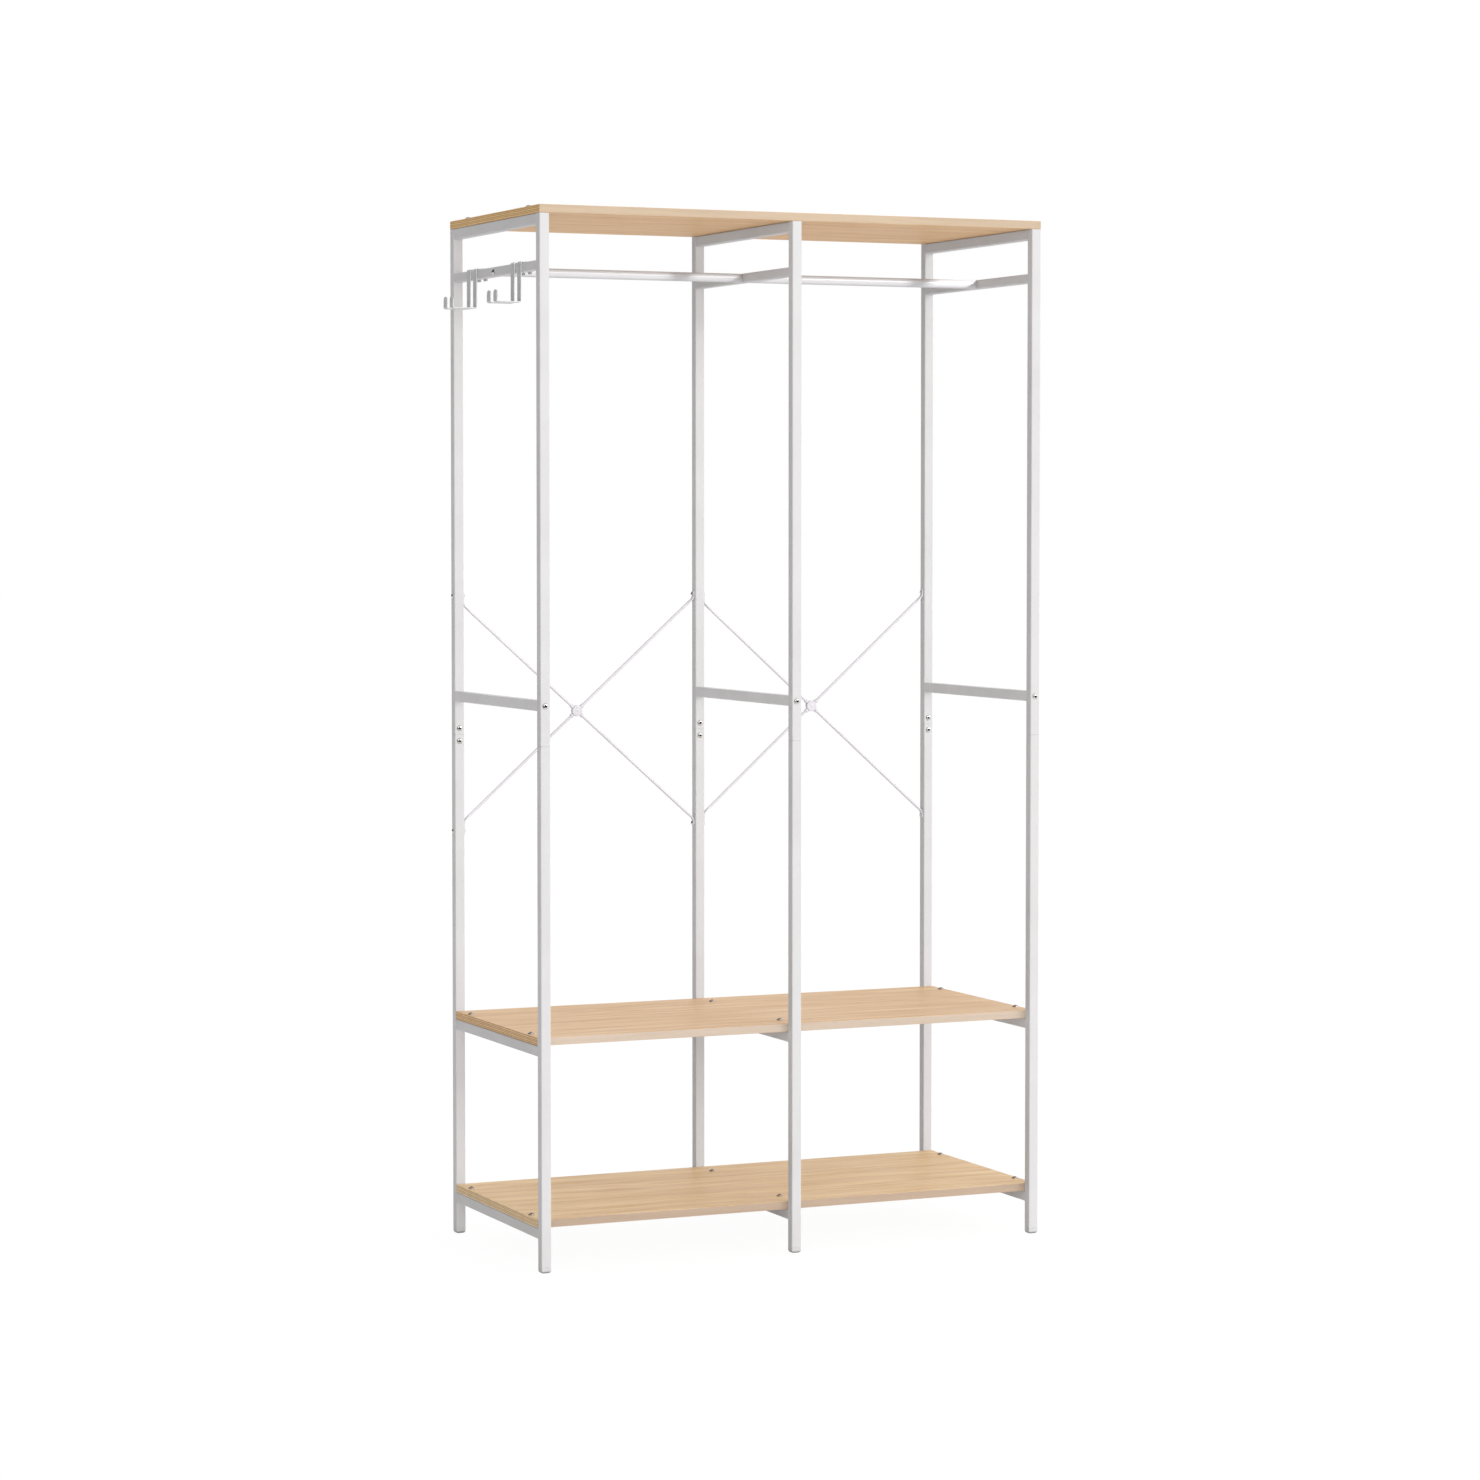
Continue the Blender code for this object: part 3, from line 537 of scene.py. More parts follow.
@skin_group(
    "metal_skin",
    {
        "Colour": (0.6, 0.6, 0.6, 1.0),
        "Stain": (0.45, 0.44, 0.43, 1.0),
        "Scratch Scale": (300.0, 300.0, 300.0),
        "Clouds per Metre": 160.0,
        "Roughness": 0.3,
        "Roughness Spread": 0.2,
        "Relief": 0.1,
    },
)
def metal_skin(tree, given):
    """Plated or brushed metal: cloudy tone, fine scratches and a little relief."""
    place = object_place(tree)
    cloud = between(tree, noise(tree, place, given["Clouds per Metre"], 3.0, 0.5), 0.4, 0.75)
    scales = {0: place, 1: given["Scratch Scale"]}
    scratch = noise(tree, value_of(tree, "ShaderNodeVectorMath", scales, operation="MULTIPLY"), 1.0, 3.0)
    tone = mixed(tree, cloud, given["Colour"], given["Stain"])
    rough = plus(tree, given["Roughness"], swing(tree, scratch, given["Roughness Spread"]), True)
    return skin_outputs(tree, given, tone, rough, scratch, 0.0001)


# Finishes


def toned(parts, *tone):
    """A colour times one number, or times a number for each part, at most white."""
    tone = tone if len(tone) == 3 else tone * 3
    return tuple(min(1.0, part * factor) for part, factor in zip(parts, tone))


def new_finish(name, group, values, shine, change=None):
    """A material with a group's skin, its colour changed by nodes of the material's own.

    Constant values sit on the shader's own sockets.
    """
    if name in bpy.data.materials:
        return bpy.data.materials[name]
    made = bpy.data.materials.new(name)
    made.use_nodes = True
    tree = made.node_tree
    shader = tree.nodes["Principled BSDF"]
    for label, value in shine.items():
        shader.inputs[label].default_value = value
    skin = add_node(tree, "ShaderNodeGroup", values, node_tree=group).outputs
    for label in ("Roughness", "Normal"):
        tree.links.new(skin[label], shader.inputs[label])
    tone = change(tree, skin["Colour"]) if change else skin["Colour"]
    tree.links.new(tone, shader.inputs["Base Color"])
    return made


def coated(name, values, worn, painted_shade_below=None):
    """Paint or moulded plastic, worn a little along its edges, with another tone underneath: painted
    shade on the faces that point down.
    """

    def change(tree, skin):
        edge = value_of(tree, "ShaderNodeGroup", {"Reach": 0.0009}, "Mask", node_tree=near_edge())
        skin = mixed(tree, times(tree, edge, 0.5), skin, worn)
        if painted_shade_below is None:
            return skin
        # Painted shade: faces that point down turn towards the darker tone, standing in for the shade by
        # the floor.
        height = part_of(tree, tree.nodes.new("ShaderNodeTexCoord").outputs["Normal"], "Z")
        return mixed(tree, between(tree, height, -0.05, -0.85), skin, painted_shade_below)

    return new_finish(name, coat_skin(), values, {"Specular IOR Level": 0.5}, change)


def tube_paint(settings):
    values = {
        "Colour": settings.paint,
        "Patch Colour": settings.paint_deep,
        "Speck Amount": 0.25,
        "Roughness": 0.42,
        "Roughness Spread": 0.16,
        "Relief": 0.10,
    }
    return coated("tube_powder_coat", values, toned(settings.paint, 1.07))


def plain_coat(name, paint, roughness, relief, specks, painted_shade_below=None):
    """A coat in one colour, its patches and worn edges worked out from it."""
    values = {
        "Colour": paint,
        "Patch Colour": toned(paint, 0.94),
        "Patches per Metre": 14.0,
        "Speck Amount": specks,
        "Roughness": roughness,
        "Roughness Spread": 0.14,
        "Relief": relief,
    }
    return coated(name, values, toned(paint, 1.06), painted_shade_below)


def metal(name, tone, stain, values, metallic=1.0, change=None):
    """Plated or brushed metal, its stains a share of its own tone."""
    values = {"Colour": tone, "Stain": toned(tone, stain), **values}
    return new_finish(name, metal_skin(), values, {"Metallic": metallic}, change)


def hook_steel(settings):
    values = {"Scratch Scale": (60.0, 420.0, 60.0), "Roughness": 0.40, "Relief": 0.08}
    return metal("hook_steel", settings.steel, 0.82, values, 0.35)


def sleeve_zinc(settings):
    values = {"Scratch Scale": (90.0, 90.0, 260.0), "Roughness": 0.40, "Clouds per Metre": 240.0}
    return metal("sleeve_zinc", toned(settings.zinc, 0.86), 0.82, values)


def fastener_metal(name, tone, roughness):
    """Bright plating, with painted shade inside the hex sockets: their faces are painted near black."""

    def dark_socket(tree, skin):
        # Painted shade: the marked socket faces are painted near black, standing in for the shade in the
        # recess.
        inner = value_of(tree, "ShaderNodeAttribute", (), "Fac", attribute_name="socket")
        return mixed(tree, inner, skin, (0.02, 0.018, 0.016))

    values = {"Scratch Scale": (500.0, 500.0, 500.0), "Roughness": roughness, "Relief": 0.05}
    return metal(name, tone, 0.8, values, 1.0, dark_socket)


def quiet_bounce(tree, skin):
    """The wood's own colour, but nearly grey in the light that it throws on the white tubes."""
    bounced = tree.nodes.new("ShaderNodeLightPath").outputs["Is Diffuse Ray"]
    return mixed(tree, times(tree, bounced, 0.75), skin, (0.60, 0.585, 0.575))


def wood(name, colours, amounts, roughness, specular, change=quiet_bounce):
    """Oak in three colours, with amounts for its bands, streaks and pores."""
    values = dict(zip(("Wood", "Grain", "Pore"), colours))
    values.update(zip(("Band Amount", "Streak Amount", "Pore Amount"), amounts))
    values["Roughness"] = roughness
    return new_finish(name, oak_grain(), values, {"Specular IOR Level": specular}, change)


def wood_face(settings, board):
    """The lacquered flat faces of a board."""
    tone = BOARD_TONES_AND_LIGHT[board][0]
    grain = toned(settings.grain, *tone)
    colours = (toned(settings.wood, *tone), grain, toned(grain, 0.55))
    return wood("oak_face_" + board, colours, (0.55, 0.54, 0.45), 0.42, 0.22)


def wood_long_edge(settings, board):
    """The pale band on the front and back edges."""
    pale = toned(settings.long_edge, *BOARD_TONES_AND_LIGHT[board][1])
    colours = (pale, toned(pale, 0.86), toned(pale, 0.6))
    return wood("oak_long_edge_" + board, colours, (0.5, 0.35, 0.25), 0.46, 0.4)


def wood_short_edge(settings, board):
    """The end edges, where the layers of the board show as stripes."""
    warm = toned(settings.short_edge, *BOARD_TONES_AND_LIGHT[board][2])

    def layered(tree, skin):
        place = object_place(tree)
        sway = swing(tree, long_noise(tree, place, (30.0, 14.0, 8.0)), 0.0022)
        layer = math_node(tree, "DIVIDE", plus(tree, part_of(tree, place, "Z"), sway), settings.layer)
        off_middle = math_node(tree, "ABSOLUTE", minus(tree, math_node(tree, "FRACT", layer), 0.5))
        glue = between(tree, off_middle, 0.25, 0.40)
        deep = math_node(tree, "MODULO", math_node(tree, "FLOOR", layer), 2.0)
        skin = mixed(tree, times(tree, deep, 0.75), skin, toned(warm, 0.82, 0.70, 0.55))
        skin = mixed(tree, times(tree, glue, 0.9), skin, toned(warm, 0.42, 0.30, 0.20))
        return quiet_bounce(tree, skin)

    colours = (warm, toned(warm, 0.72), toned(warm, 0.45))
    return wood("oak_end_edge_" + board, colours, (0.35, 0.45, 0.6), 0.55, 0.3, layered)


# Meshes


def eased(size, steps):
    """The steps of a rounded edge, each as its distances from the two faces that meet there."""
    angles = [step / steps * pi / 2 for step in range(steps + 1)]
    return [(size * (1 - sin(angle)), size * (1 - cos(angle))) for angle in angles]


def outline(half_x, half_y, corner, steps=6):
    """Points of a rectangle with rounded corners, counter-clockwise."""
    corner = max(min(corner, half_x * 0.999, half_y * 0.999), 0.00002)
    points = []
    for index, (way_x, way_y) in enumerate(((1, 1), (-1, 1), (-1, -1), (1, -1))):
        for step in range(steps + 1):
            angle = (index + step / steps) * pi / 2
            x = way_x * (half_x - corner) + corner * cos(angle)
            y = way_y * (half_y - corner) + corner * sin(angle)
            points.append((x, y))
    return points


def as_mesh(bm):
    bmesh.ops.recalc_face_normals(bm, faces=bm.faces)
    mesh = bpy.data.meshes.new("shape")
    bm.to_mesh(mesh)
    bm.free()
    return mesh


def loft(rings, closed=False):
    """A solid through rings of matching points: capped at both ends, or joined end to end."""
    bm = bmesh.new()
    rows = [[bm.verts.new(point) for point in ring] for ring in rings]
    pairs = list(zip(rows, rows[1:]))
    if closed:
        pairs.append((rows[-1], rows[0]))
    else:
        bm.faces.new(list(reversed(rows[0])))
        bm.faces.new(rows[-1])
    count = len(rows[0])
    for row, after in pairs:
        for index in range(count):
            following = (index + 1) % count
            bm.faces.new((row[index], row[following], after[following], after[index]))
    return as_mesh(bm)


def turned(profile, place, steps=32):
    """A solid spun about its own Z from (radius, height) points. Points on the axis close it."""
    bm = bmesh.new()
    rows = []
    for radius, height in profile:
        angles = [2 * pi * step / steps for step in range(steps if radius else 1)]
        points = [Vector((radius * cos(angle), radius * sin(angle), height)) for angle in angles]
        rows.append([bm.verts.new(place @ point) for point in points])
    pairs = list(zip(rows, rows[1:]))
    if len(rows[0]) > 1:
        pairs.append((rows[-1], rows[0]))
    for row, after in pairs:
        for step in range(steps):
            following = (step + 1) % steps
            corners = [row[step % len(row)], row[following % len(row)]]
            corners += [after[following % len(after)], after[step % len(after)]]
            bm.faces.new(list(dict.fromkeys(corners)))
    return as_mesh(bm)


def facing(position, direction):
    """A placement at position whose own Z points along direction."""
    turn = Vector(direction).to_track_quat("Z", "Y").to_matrix().to_4x4()
    return Matrix.Translation(Vector(position)) @ turn


def helper(name, data):
    """A new object in the scene, with a mesh or other data."""
    made = bpy.data.objects.new(name, data)
    bpy.context.scene.collection.objects.link(made)
    return made


def settled(thing):
    """The mesh of a helper object with its modifiers applied. The helper goes."""
    bpy.context.view_layer.update()
    graph = bpy.context.evaluated_depsgraph_get()
    mesh = bpy.data.meshes.new_from_object(thing.evaluated_get(graph))
    bpy.data.objects.remove(thing, do_unlink=True)
    return mesh


def combined(mesh, others, operation):
    """Join other meshes to a mesh, or cut them out of it."""
    thing = helper("base", mesh)
    group = bpy.data.collections.new("operands")
    bpy.context.scene.collection.children.link(group)
    for other in others:
        group.objects.link(bpy.data.objects.new("operand", other))
    step = thing.modifiers.new("combine", "BOOLEAN")
    step.operation = operation
    step.operand_type = "COLLECTION"
    step.collection = group
    step.solver = "EXACT"
    result = settled(thing)
    for operand in list(group.objects):
        bpy.data.objects.remove(operand, do_unlink=True)
    bpy.data.collections.remove(group)
    return result


def cylinder(diameter, depth, place, steps):
    """A round or many-sided block about its own middle."""
    radius = diameter / 2
    half = depth / 2
    return turned([(0.0, half), (radius, half), (radius, -half), (0.0, -half)], place, steps)


def drilled(mesh, holes):
    """Drill round holes, each given as centre, direction, diameter and length."""
    cutters = []
    for centre, direction, diameter, depth in holes:
        cutters.append(cylinder(diameter, depth, facing(centre, direction), 24))
    return combined(mesh, cutters, "DIFFERENCE")


def shaded(mesh, angle=32.0):
    """Smooth the curves of a mesh and keep its flat faces flat."""
    mesh.shade_smooth()
    mesh.set_sharp_from_angle(angle=radians(angle))
    thing = helper("smooth", mesh)
    step = thing.modifiers.new("flat_faces", "WEIGHTED_NORMAL")
    step.mode = "FACE_AREA"
    step.weight = 60
    step.keep_sharp = True
    return settled(thing)


def show(name, mesh, finishes, nodes=(), body="rack"):
    """Show one finished piece, in place of the CAD nodes that it stands for."""
    if not len(mesh.polygons):
        raise RuntimeError("the piece " + name + " has no faces")
    mesh.name = name
    piece = helper(name, mesh)
    for finish in finishes:
        mesh.materials.append(finish)
    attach(piece, body)
    if nodes:
        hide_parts(*nodes)
    return piece


def path_mesh(paths, attribute, kind, values):
    """Bare edges along paths, with one attribute on the points, for a node tree to follow."""
    bm = bmesh.new()
    for path in paths:
        verts = [bm.verts.new(point) for point in path]
        for first, second in zip(verts, verts[1:]):
            bm.edges.new((first, second))
    mesh = bpy.data.meshes.new("paths")
    bm.to_mesh(mesh)
    bm.free()
    layer = mesh.attributes.new(attribute, kind, "POINT")
    layer.data.foreach_set("vector" if kind == "FLOAT_VECTOR" else "value", values)
    return mesh


def grown(mesh, tree, values):
    """Run a geometry tree on a mesh and return the plain mesh that it makes."""
    thing = helper("guide", mesh)
    step = thing.modifiers.new(tree.name, "NODES")
    step.node_group = tree
    for item in tree.interface.items_tree:
        if item.item_type == "SOCKET" and item.in_out == "INPUT" and item.name in values:
            step[item.identifier] = values[item.name]
    result = settled(thing)
    result.materials.clear()
    return result


# Mesh groups


@mesh_group("weld_bead", {"Bead Radius": 0.0008, "Step": 0.0007, "Ripple": 0.3, "Seed": 3.0})
def weld_bead(tree, given):
    """A weld bead along each path, with small ripples."""
    curve = value_of(tree, "GeometryNodeMeshToCurve", {"Mesh": given["Geometry"]})
    even = {"Curve": curve, "Length": given["Step"]}
    even = value_of(tree, "GeometryNodeResampleCurve", even, mode="LENGTH")
    bumps = {"W": given["Seed"], "Scale": 620.0, "Detail": 1.0}
    bumps = value_of(tree, "ShaderNodeTexNoise", bumps, noise_dimensions="4D")
    size = plus(tree, swing(tree, bumps, given["Ripple"]), 1.0)
    size = times(tree, size, named(tree, "taper"))
    ring = {"Resolution": 8, "Radius": given["Bead Radius"]}
    ring = value_of(tree, "GeometryNodeCurvePrimitiveCircle", ring)
    bead = {"Curve": even, "Profile Curve": ring, "Scale": size, "Fill Caps": True}
    bead = value_of(tree, "GeometryNodeCurveToMesh", bead)
    return mesh_outputs(tree, given, value_of(tree, "GeometryNodeSetShadeSmooth", {"Geometry": bead}))


@mesh_group("fastener_places", {"Fastener": "Object", "Size": 1.0, "Seed": 7})
def fastener_places(tree, given):
    """One bolt or screw on each point, turned to the point's own direction."""
    way = named(tree, "facing", "FLOAT_VECTOR")
    upright = value_of(tree, "FunctionNodeAlignRotationToVector", {"Vector": way}, axis="Z")
    angle = {2: 0.0, 3: 2 * pi, "Seed": given["Seed"]}
    angle = value_of(tree, "FunctionNodeRandomValue", angle, 1, data_type="FLOAT")
    spin = value_of(tree, "FunctionNodeAxisAngleToRotation", {"Axis": (0.0, 0.0, 1.0), "Angle": angle})
    turn = {"Rotation": upright, "Rotate By": spin}
    turn = value_of(tree, "FunctionNodeRotateRotation", turn, rotation_space="LOCAL")
    shape = {"Object": given["Fastener"], "As Instance": True}
    shape = value_of(tree, "GeometryNodeObjectInfo", shape, "Geometry")
    placed = {"Points": given["Geometry"], "Instance": shape, "Rotation": turn, "Scale": given["Size"]}
    return mesh_outputs(tree, given, value_of(tree, "GeometryNodeInstanceOnPoints", placed))


@mesh_group(
    "bent_strip",
    {"Strip Width": 0.0165, "Strip Thickness": 0.002, "Edge Rounding": 0.0004, "Middle": 0.0},
)
def bent_strip(tree, given):
    """A flat strip swept along a bent path, narrowed at its ends by the path's own attribute."""
    curve = value_of(tree, "GeometryNodeMeshToCurve", {"Mesh": given["Geometry"]})
    section = {"Width": given["Strip Thickness"], "Height": given["Strip Width"]}
    section = value_of(tree, "GeometryNodeCurvePrimitiveQuadrilateral", section, mode="RECTANGLE")
    section = {"Curve": section, "Radius": given["Edge Rounding"], "Count": 3}
    section = value_of(tree, "GeometryNodeFilletCurve", section, mode="POLY")
    strip = {"Curve": curve, "Profile Curve": section, "Fill Caps": True}
    strip = value_of(tree, "GeometryNodeCurveToMesh", strip)
    place = value_of(tree, "GeometryNodeInputPosition")
    aside = minus(tree, part_of(tree, place, "Y"), given["Middle"])
    aside = plus(tree, times(tree, aside, named(tree, "narrow")), given["Middle"])
    moved = {0: part_of(tree, place, "X"), 1: aside, 2: part_of(tree, place, "Z")}
    moved = value_of(tree, "ShaderNodeCombineXYZ", moved)
    shaped = {"Geometry": strip, "Position": moved}
    return mesh_outputs(tree, given, value_of(tree, "GeometryNodeSetPosition", shaped))


# Frames


def tube(centre, axis, size, span, settings, ease=0.0, solid=False):
    """A rectangular tube along Z or Y over a span, with rounded corners. Its ends may be eased."""
    start, end = span
    levels = [(start, 0.0), (end, 0.0)]
    if ease:
        levels = [(start + near, shrink) for shrink, near in eased(ease, 3)]
        levels += [(end - near, shrink) for near, shrink in eased(ease, 3)]
    if not solid:
        levels += [(end, settings.wall), (start, settings.wall)]
    rings = []
    for distance, shrink in levels:
        points = outline(size[0] / 2 - shrink, size[1] / 2 - shrink, settings.corner - shrink)
        if axis == "Z":
            rings.append([(centre[0] + a, centre[1] + b, distance) for a, b in points])
        else:
            rings.append([(centre[0] + a, distance, centre[2] + b) for a, b in points])
    return loft(rings, closed=not solid)


def frame_half(x, span, bars, holes, settings):
    """Two posts and the bars welded between them, as one hollow piece."""
    posts = []
    for row in ROWS:
        centre = (x, ROW_Y[row], 0.0)
        posts.append(tube(centre, "Z", (POST.x, POST.y), span, settings, settings.ease))
    reach = INNER_Y + settings.wall * 0.9
    for height, size in bars:
        posts.append(tube((x, 0.0, height), "Y", (BAR.x, size), (-reach, reach), settings))
    return shaded(drilled(combined(posts[0], posts[1:], "UNION"), holes))


def bar_heights(settings):
    """Middle heights and sizes of the welded bars in each half."""
    shelves = [(low(board).z - CLEARANCE - BAR.z / 2, BAR.z) for board in BOARDS[1:]]
    return {
        "upper": [(POST_TOP - BAR.z / 2, BAR.z), (ROD_AXIS, settings.rail_height)],
        "lower": shelves,
    }


def screw_rows(fasteners):
    """The two places in depth where boards are screwed to bars."""
    y = high("top_board").y - fasteners.board_inset
    return -y, y


def frame_holes(x, half, bars, fasteners):
    """The holes in one half: for braces, sleeves, boards, rods and cross bars."""
    way = 1.0 if half == "upper" else -1.0
    holes = [((x, ROW_Y["back"], BRACE_Z[half]), ACROSS, BRACE_HOLE, RIGHT_THROUGH)]
    for row in ROWS:
        wall = ROW_Y[row] + INWARD[row] * POST.y / 2
        height = SEAM + way * fasteners.sleeve_pitch / 2
        holes.append(((x, wall, height), DEEP, SLEEVE_HOLE, ONE_WALL))
    for y in screw_rows(fasteners):
        for height, size in bars:
            if size == BAR.z:
                holes.append(((x, y, height + size / 2), UP, BOLT_HOLE, ONE_WALL))
    if half == "upper":
        holes.append(((x, 0.0, ROD_AXIS), ACROSS, BOLT_HOLE, RIGHT_THROUGH))
        holes += [((x, ROW_Y[row], CROSS_AXIS), DEEP, BOLT_HOLE, RIGHT_THROUGH) for row in ROWS]
    return holes


def cross_bar(x, settings):
    """A solid bar between the posts, bored at both ends."""
    reach = INNER_Y - CLEARANCE / 6
    bar = tube(
        (x, 0.0, CROSS_AXIS), "Y", (BAR.x, BAR.z), (-reach, reach), settings, settings.ease, True
    )
    bores = [((x, y, CROSS_AXIS), DEEP, THREADED_HOLE, BORE_IN_BAR) for y in (-reach, reach)]
    return shaded(drilled(bar, bores))


class GARMENT_RACK_OT_frames(bpy.types.Operator):
    """Build the six welded frame halves and the three bolted cross bars"""

    bl_idname = "garment_rack.frames"
    bl_label = "Build Frames"

    def execute(self, context):
        settings = context.scene.garment_rack.tubes
        fasteners = context.scene.garment_rack.fasteners
        paint = tube_paint(settings)
        # Painted light: the cross bars get the tube paint a tenth lighter, to brighten their left faces,
        # which the key light does not reach.
        bar_paint_painted_lighter = plain_coat("bar_powder_coat_painted_lighter", toned(settings.paint, 1.1), 0.42, 0.10, 0.25)
        for side, x in FRAME_X.items():
            spans = {
                "upper": (SEAM + CLEARANCE / 2, POST_TOP),
                "lower": (low("lower_frame_" + side).z, SEAM - CLEARANCE / 2),
            }
            for half, bars in bar_heights(settings).items():
                holes = frame_holes(x, half, bars, fasteners)
                mesh = frame_half(x, spans[half], bars, holes, settings)
                name = half + "_tube_frame_" + side
                show(name, mesh, [paint], [half + "_frame_" + side])
            name = "bolted_cross_bar_" + side
            show(name, cross_bar(x, settings), [bar_paint_painted_lighter], ["cross_bar_" + side])
        return {"FINISHED"}


def weld_outline(size, settings):
    """The line of the weld round a bar's end. It leaves out the top, where a board lies on the bar."""
    ring = outline(BAR.x / 2, size / 2, settings.corner)
    if size != BAR.z:
        return ring + ring[:1]
    start = min(range(len(ring)), key=lambda index: (ring[index][0] > 0, -ring[index][1]))
    ring = ring[start:] + ring[:start]
    ring = [point for point in ring if point[1] < size / 2 - settings.corner * 0.7]
    left, right = [(way * BAR.x / 2, size / 2 - settings.corner * 0.55) for way in WAYS]
    return [left, *ring, right]


class GARMENT_RACK_OT_welds(bpy.types.Operator):
    """Lay a weld bead round each bar end, left out where a board lies on the bar"""

    bl_idname = "garment_rack.welds"
    bl_label = "Lay Welds"

    def execute(self, context):
        settings = context.scene.garment_rack.tubes
        bars = bar_heights(settings)
        flat = POST.x / 2 - settings.corner
        paths = []
        tapers = []
        for x in FRAME_X.values():
            for height, size in bars["upper"] + bars["lower"]:
                for way in WAYS:
                    path = []
                    for a, b in weld_outline(size, settings):
                        over = min(max(abs(a) - flat, 0.0), settings.corner)
                        sag = settings.corner - sqrt(settings.corner**2 - over**2)
                        path.append((x + a, way * (INNER_Y + sag), height + b))
                    paths.append(path)
                    ends = 0.35 if size == BAR.z else 1.0
                    tapers += [ends] + [1.0] * (len(path) - 2) + [ends]
        paint = tube_paint(settings)
        guide = path_mesh(paths, "taper", "FLOAT", tapers)
        mesh = grown(guide, weld_bead(), {"Bead Radius": settings.bead, "Finish": paint})
        show("weld_beads", mesh, [paint])
        return {"FINISHED"}


# Boards and rods


def rounded_block(bottom, top, edge):
    """A block between two corners, with rounded edges."""
    bm = bmesh.new()
    bmesh.ops.create_cube(bm, size=1.0)
    bmesh.ops.scale(bm, vec=top - bottom, verts=bm.verts)
    bmesh.ops.translate(bm, vec=(top + bottom) / 2, verts=bm.verts)
    bmesh.ops.bevel(bm, geom=bm.edges[:], offset=edge, segments=3, profile=0.5, affect="EDGES")
    return as_mesh(bm)


class GARMENT_RACK_OT_boards(bpy.types.Operator):
    """Build the top board and the two shelves, with grain on the faces and layers at the ends"""

    bl_idname = "garment_rack.boards"
    bl_label = "Build Boards"

    def execute(self, context):
        settings = context.scene.garment_rack.boards
        rows = screw_rows(context.scene.garment_rack.fasteners)
        for board in BOARDS:
            finishes = [make(settings, board) for make in (wood_face, wood_long_edge, wood_short_edge)]
            bottom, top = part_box(board)
            height = (top.z + bottom.z) / 2
            places = [(x, y, height) for x in FRAME_X.values() for y in rows]
            holes = [(place, UP, BOLT_HOLE, RIGHT_THROUGH) for place in places]
            mesh = shaded(drilled(rounded_block(bottom, top, settings.edge), holes))
            piece = show("oak_" + board, mesh, finishes, [board])
            for face in piece.data.polygons:
                if abs(face.normal.z) > 0.5:
                    face.material_index = 0
                else:
                    face.material_index = 1 if abs(face.normal.y) > abs(face.normal.x) else 2
        return {"FINISHED"}


class GARMENT_RACK_OT_rods(bpy.types.Operator):
    """Build the two hanging rods as tubes with eased ends"""

    bl_idname = "garment_rack.rods"
    bl_label = "Build Hanging Rods"

    def execute(self, context):
        settings = context.scene.garment_rack.rods
        enamel = plain_coat("rod_enamel", settings.enamel, 0.26, 0.05, 0.12)
        for bay in BAYS:
            node = "hanging_rod_" + bay
            radius = half_size(node, 2)
            half = half_size(node, 0) + CLEARANCE * 0.8
            inner = radius - settings.wall
            arc = [(radius - side, half - end) for side, end in eased(settings.ease, 4)]
            profile = [(inner, half), (inner, -half)]
            profile += [(across, -place) for across, place in arc]
            profile += reversed(arc)
            mesh = shaded(turned(profile, facing(middle(node), ACROSS), 48), 40)
            show("enamel_rod_" + bay, mesh, [enamel], [node])
        return {"FINISHED"}


# Braces


def rounded_path(points, radius, steps=8):
    """The corners of a flat path replaced by arcs."""
    path = [Vector(points[0])]
    for before, corner, after in zip(points, points[1:], points[2:]):
        corner = Vector(corner)
        back = (Vector(before) - corner).normalized()
        ahead = (Vector(after) - corner).normalized()
        half = back.angle(ahead) / 2
        pivot = corner + (back + ahead).normalized() * radius / sin(half)
        first = corner + back * radius / tan(half) - pivot
        last = corner + ahead * radius / tan(half) - pivot
        sweep = first.angle(last)
        for step in range(steps + 1):
            part = step / steps
            blend = first * sin((1 - part) * sweep) + last * sin(part * sweep)
            path.append(pivot + blend / sin(sweep))
    path.append(Vector(points[-1]))
    return path


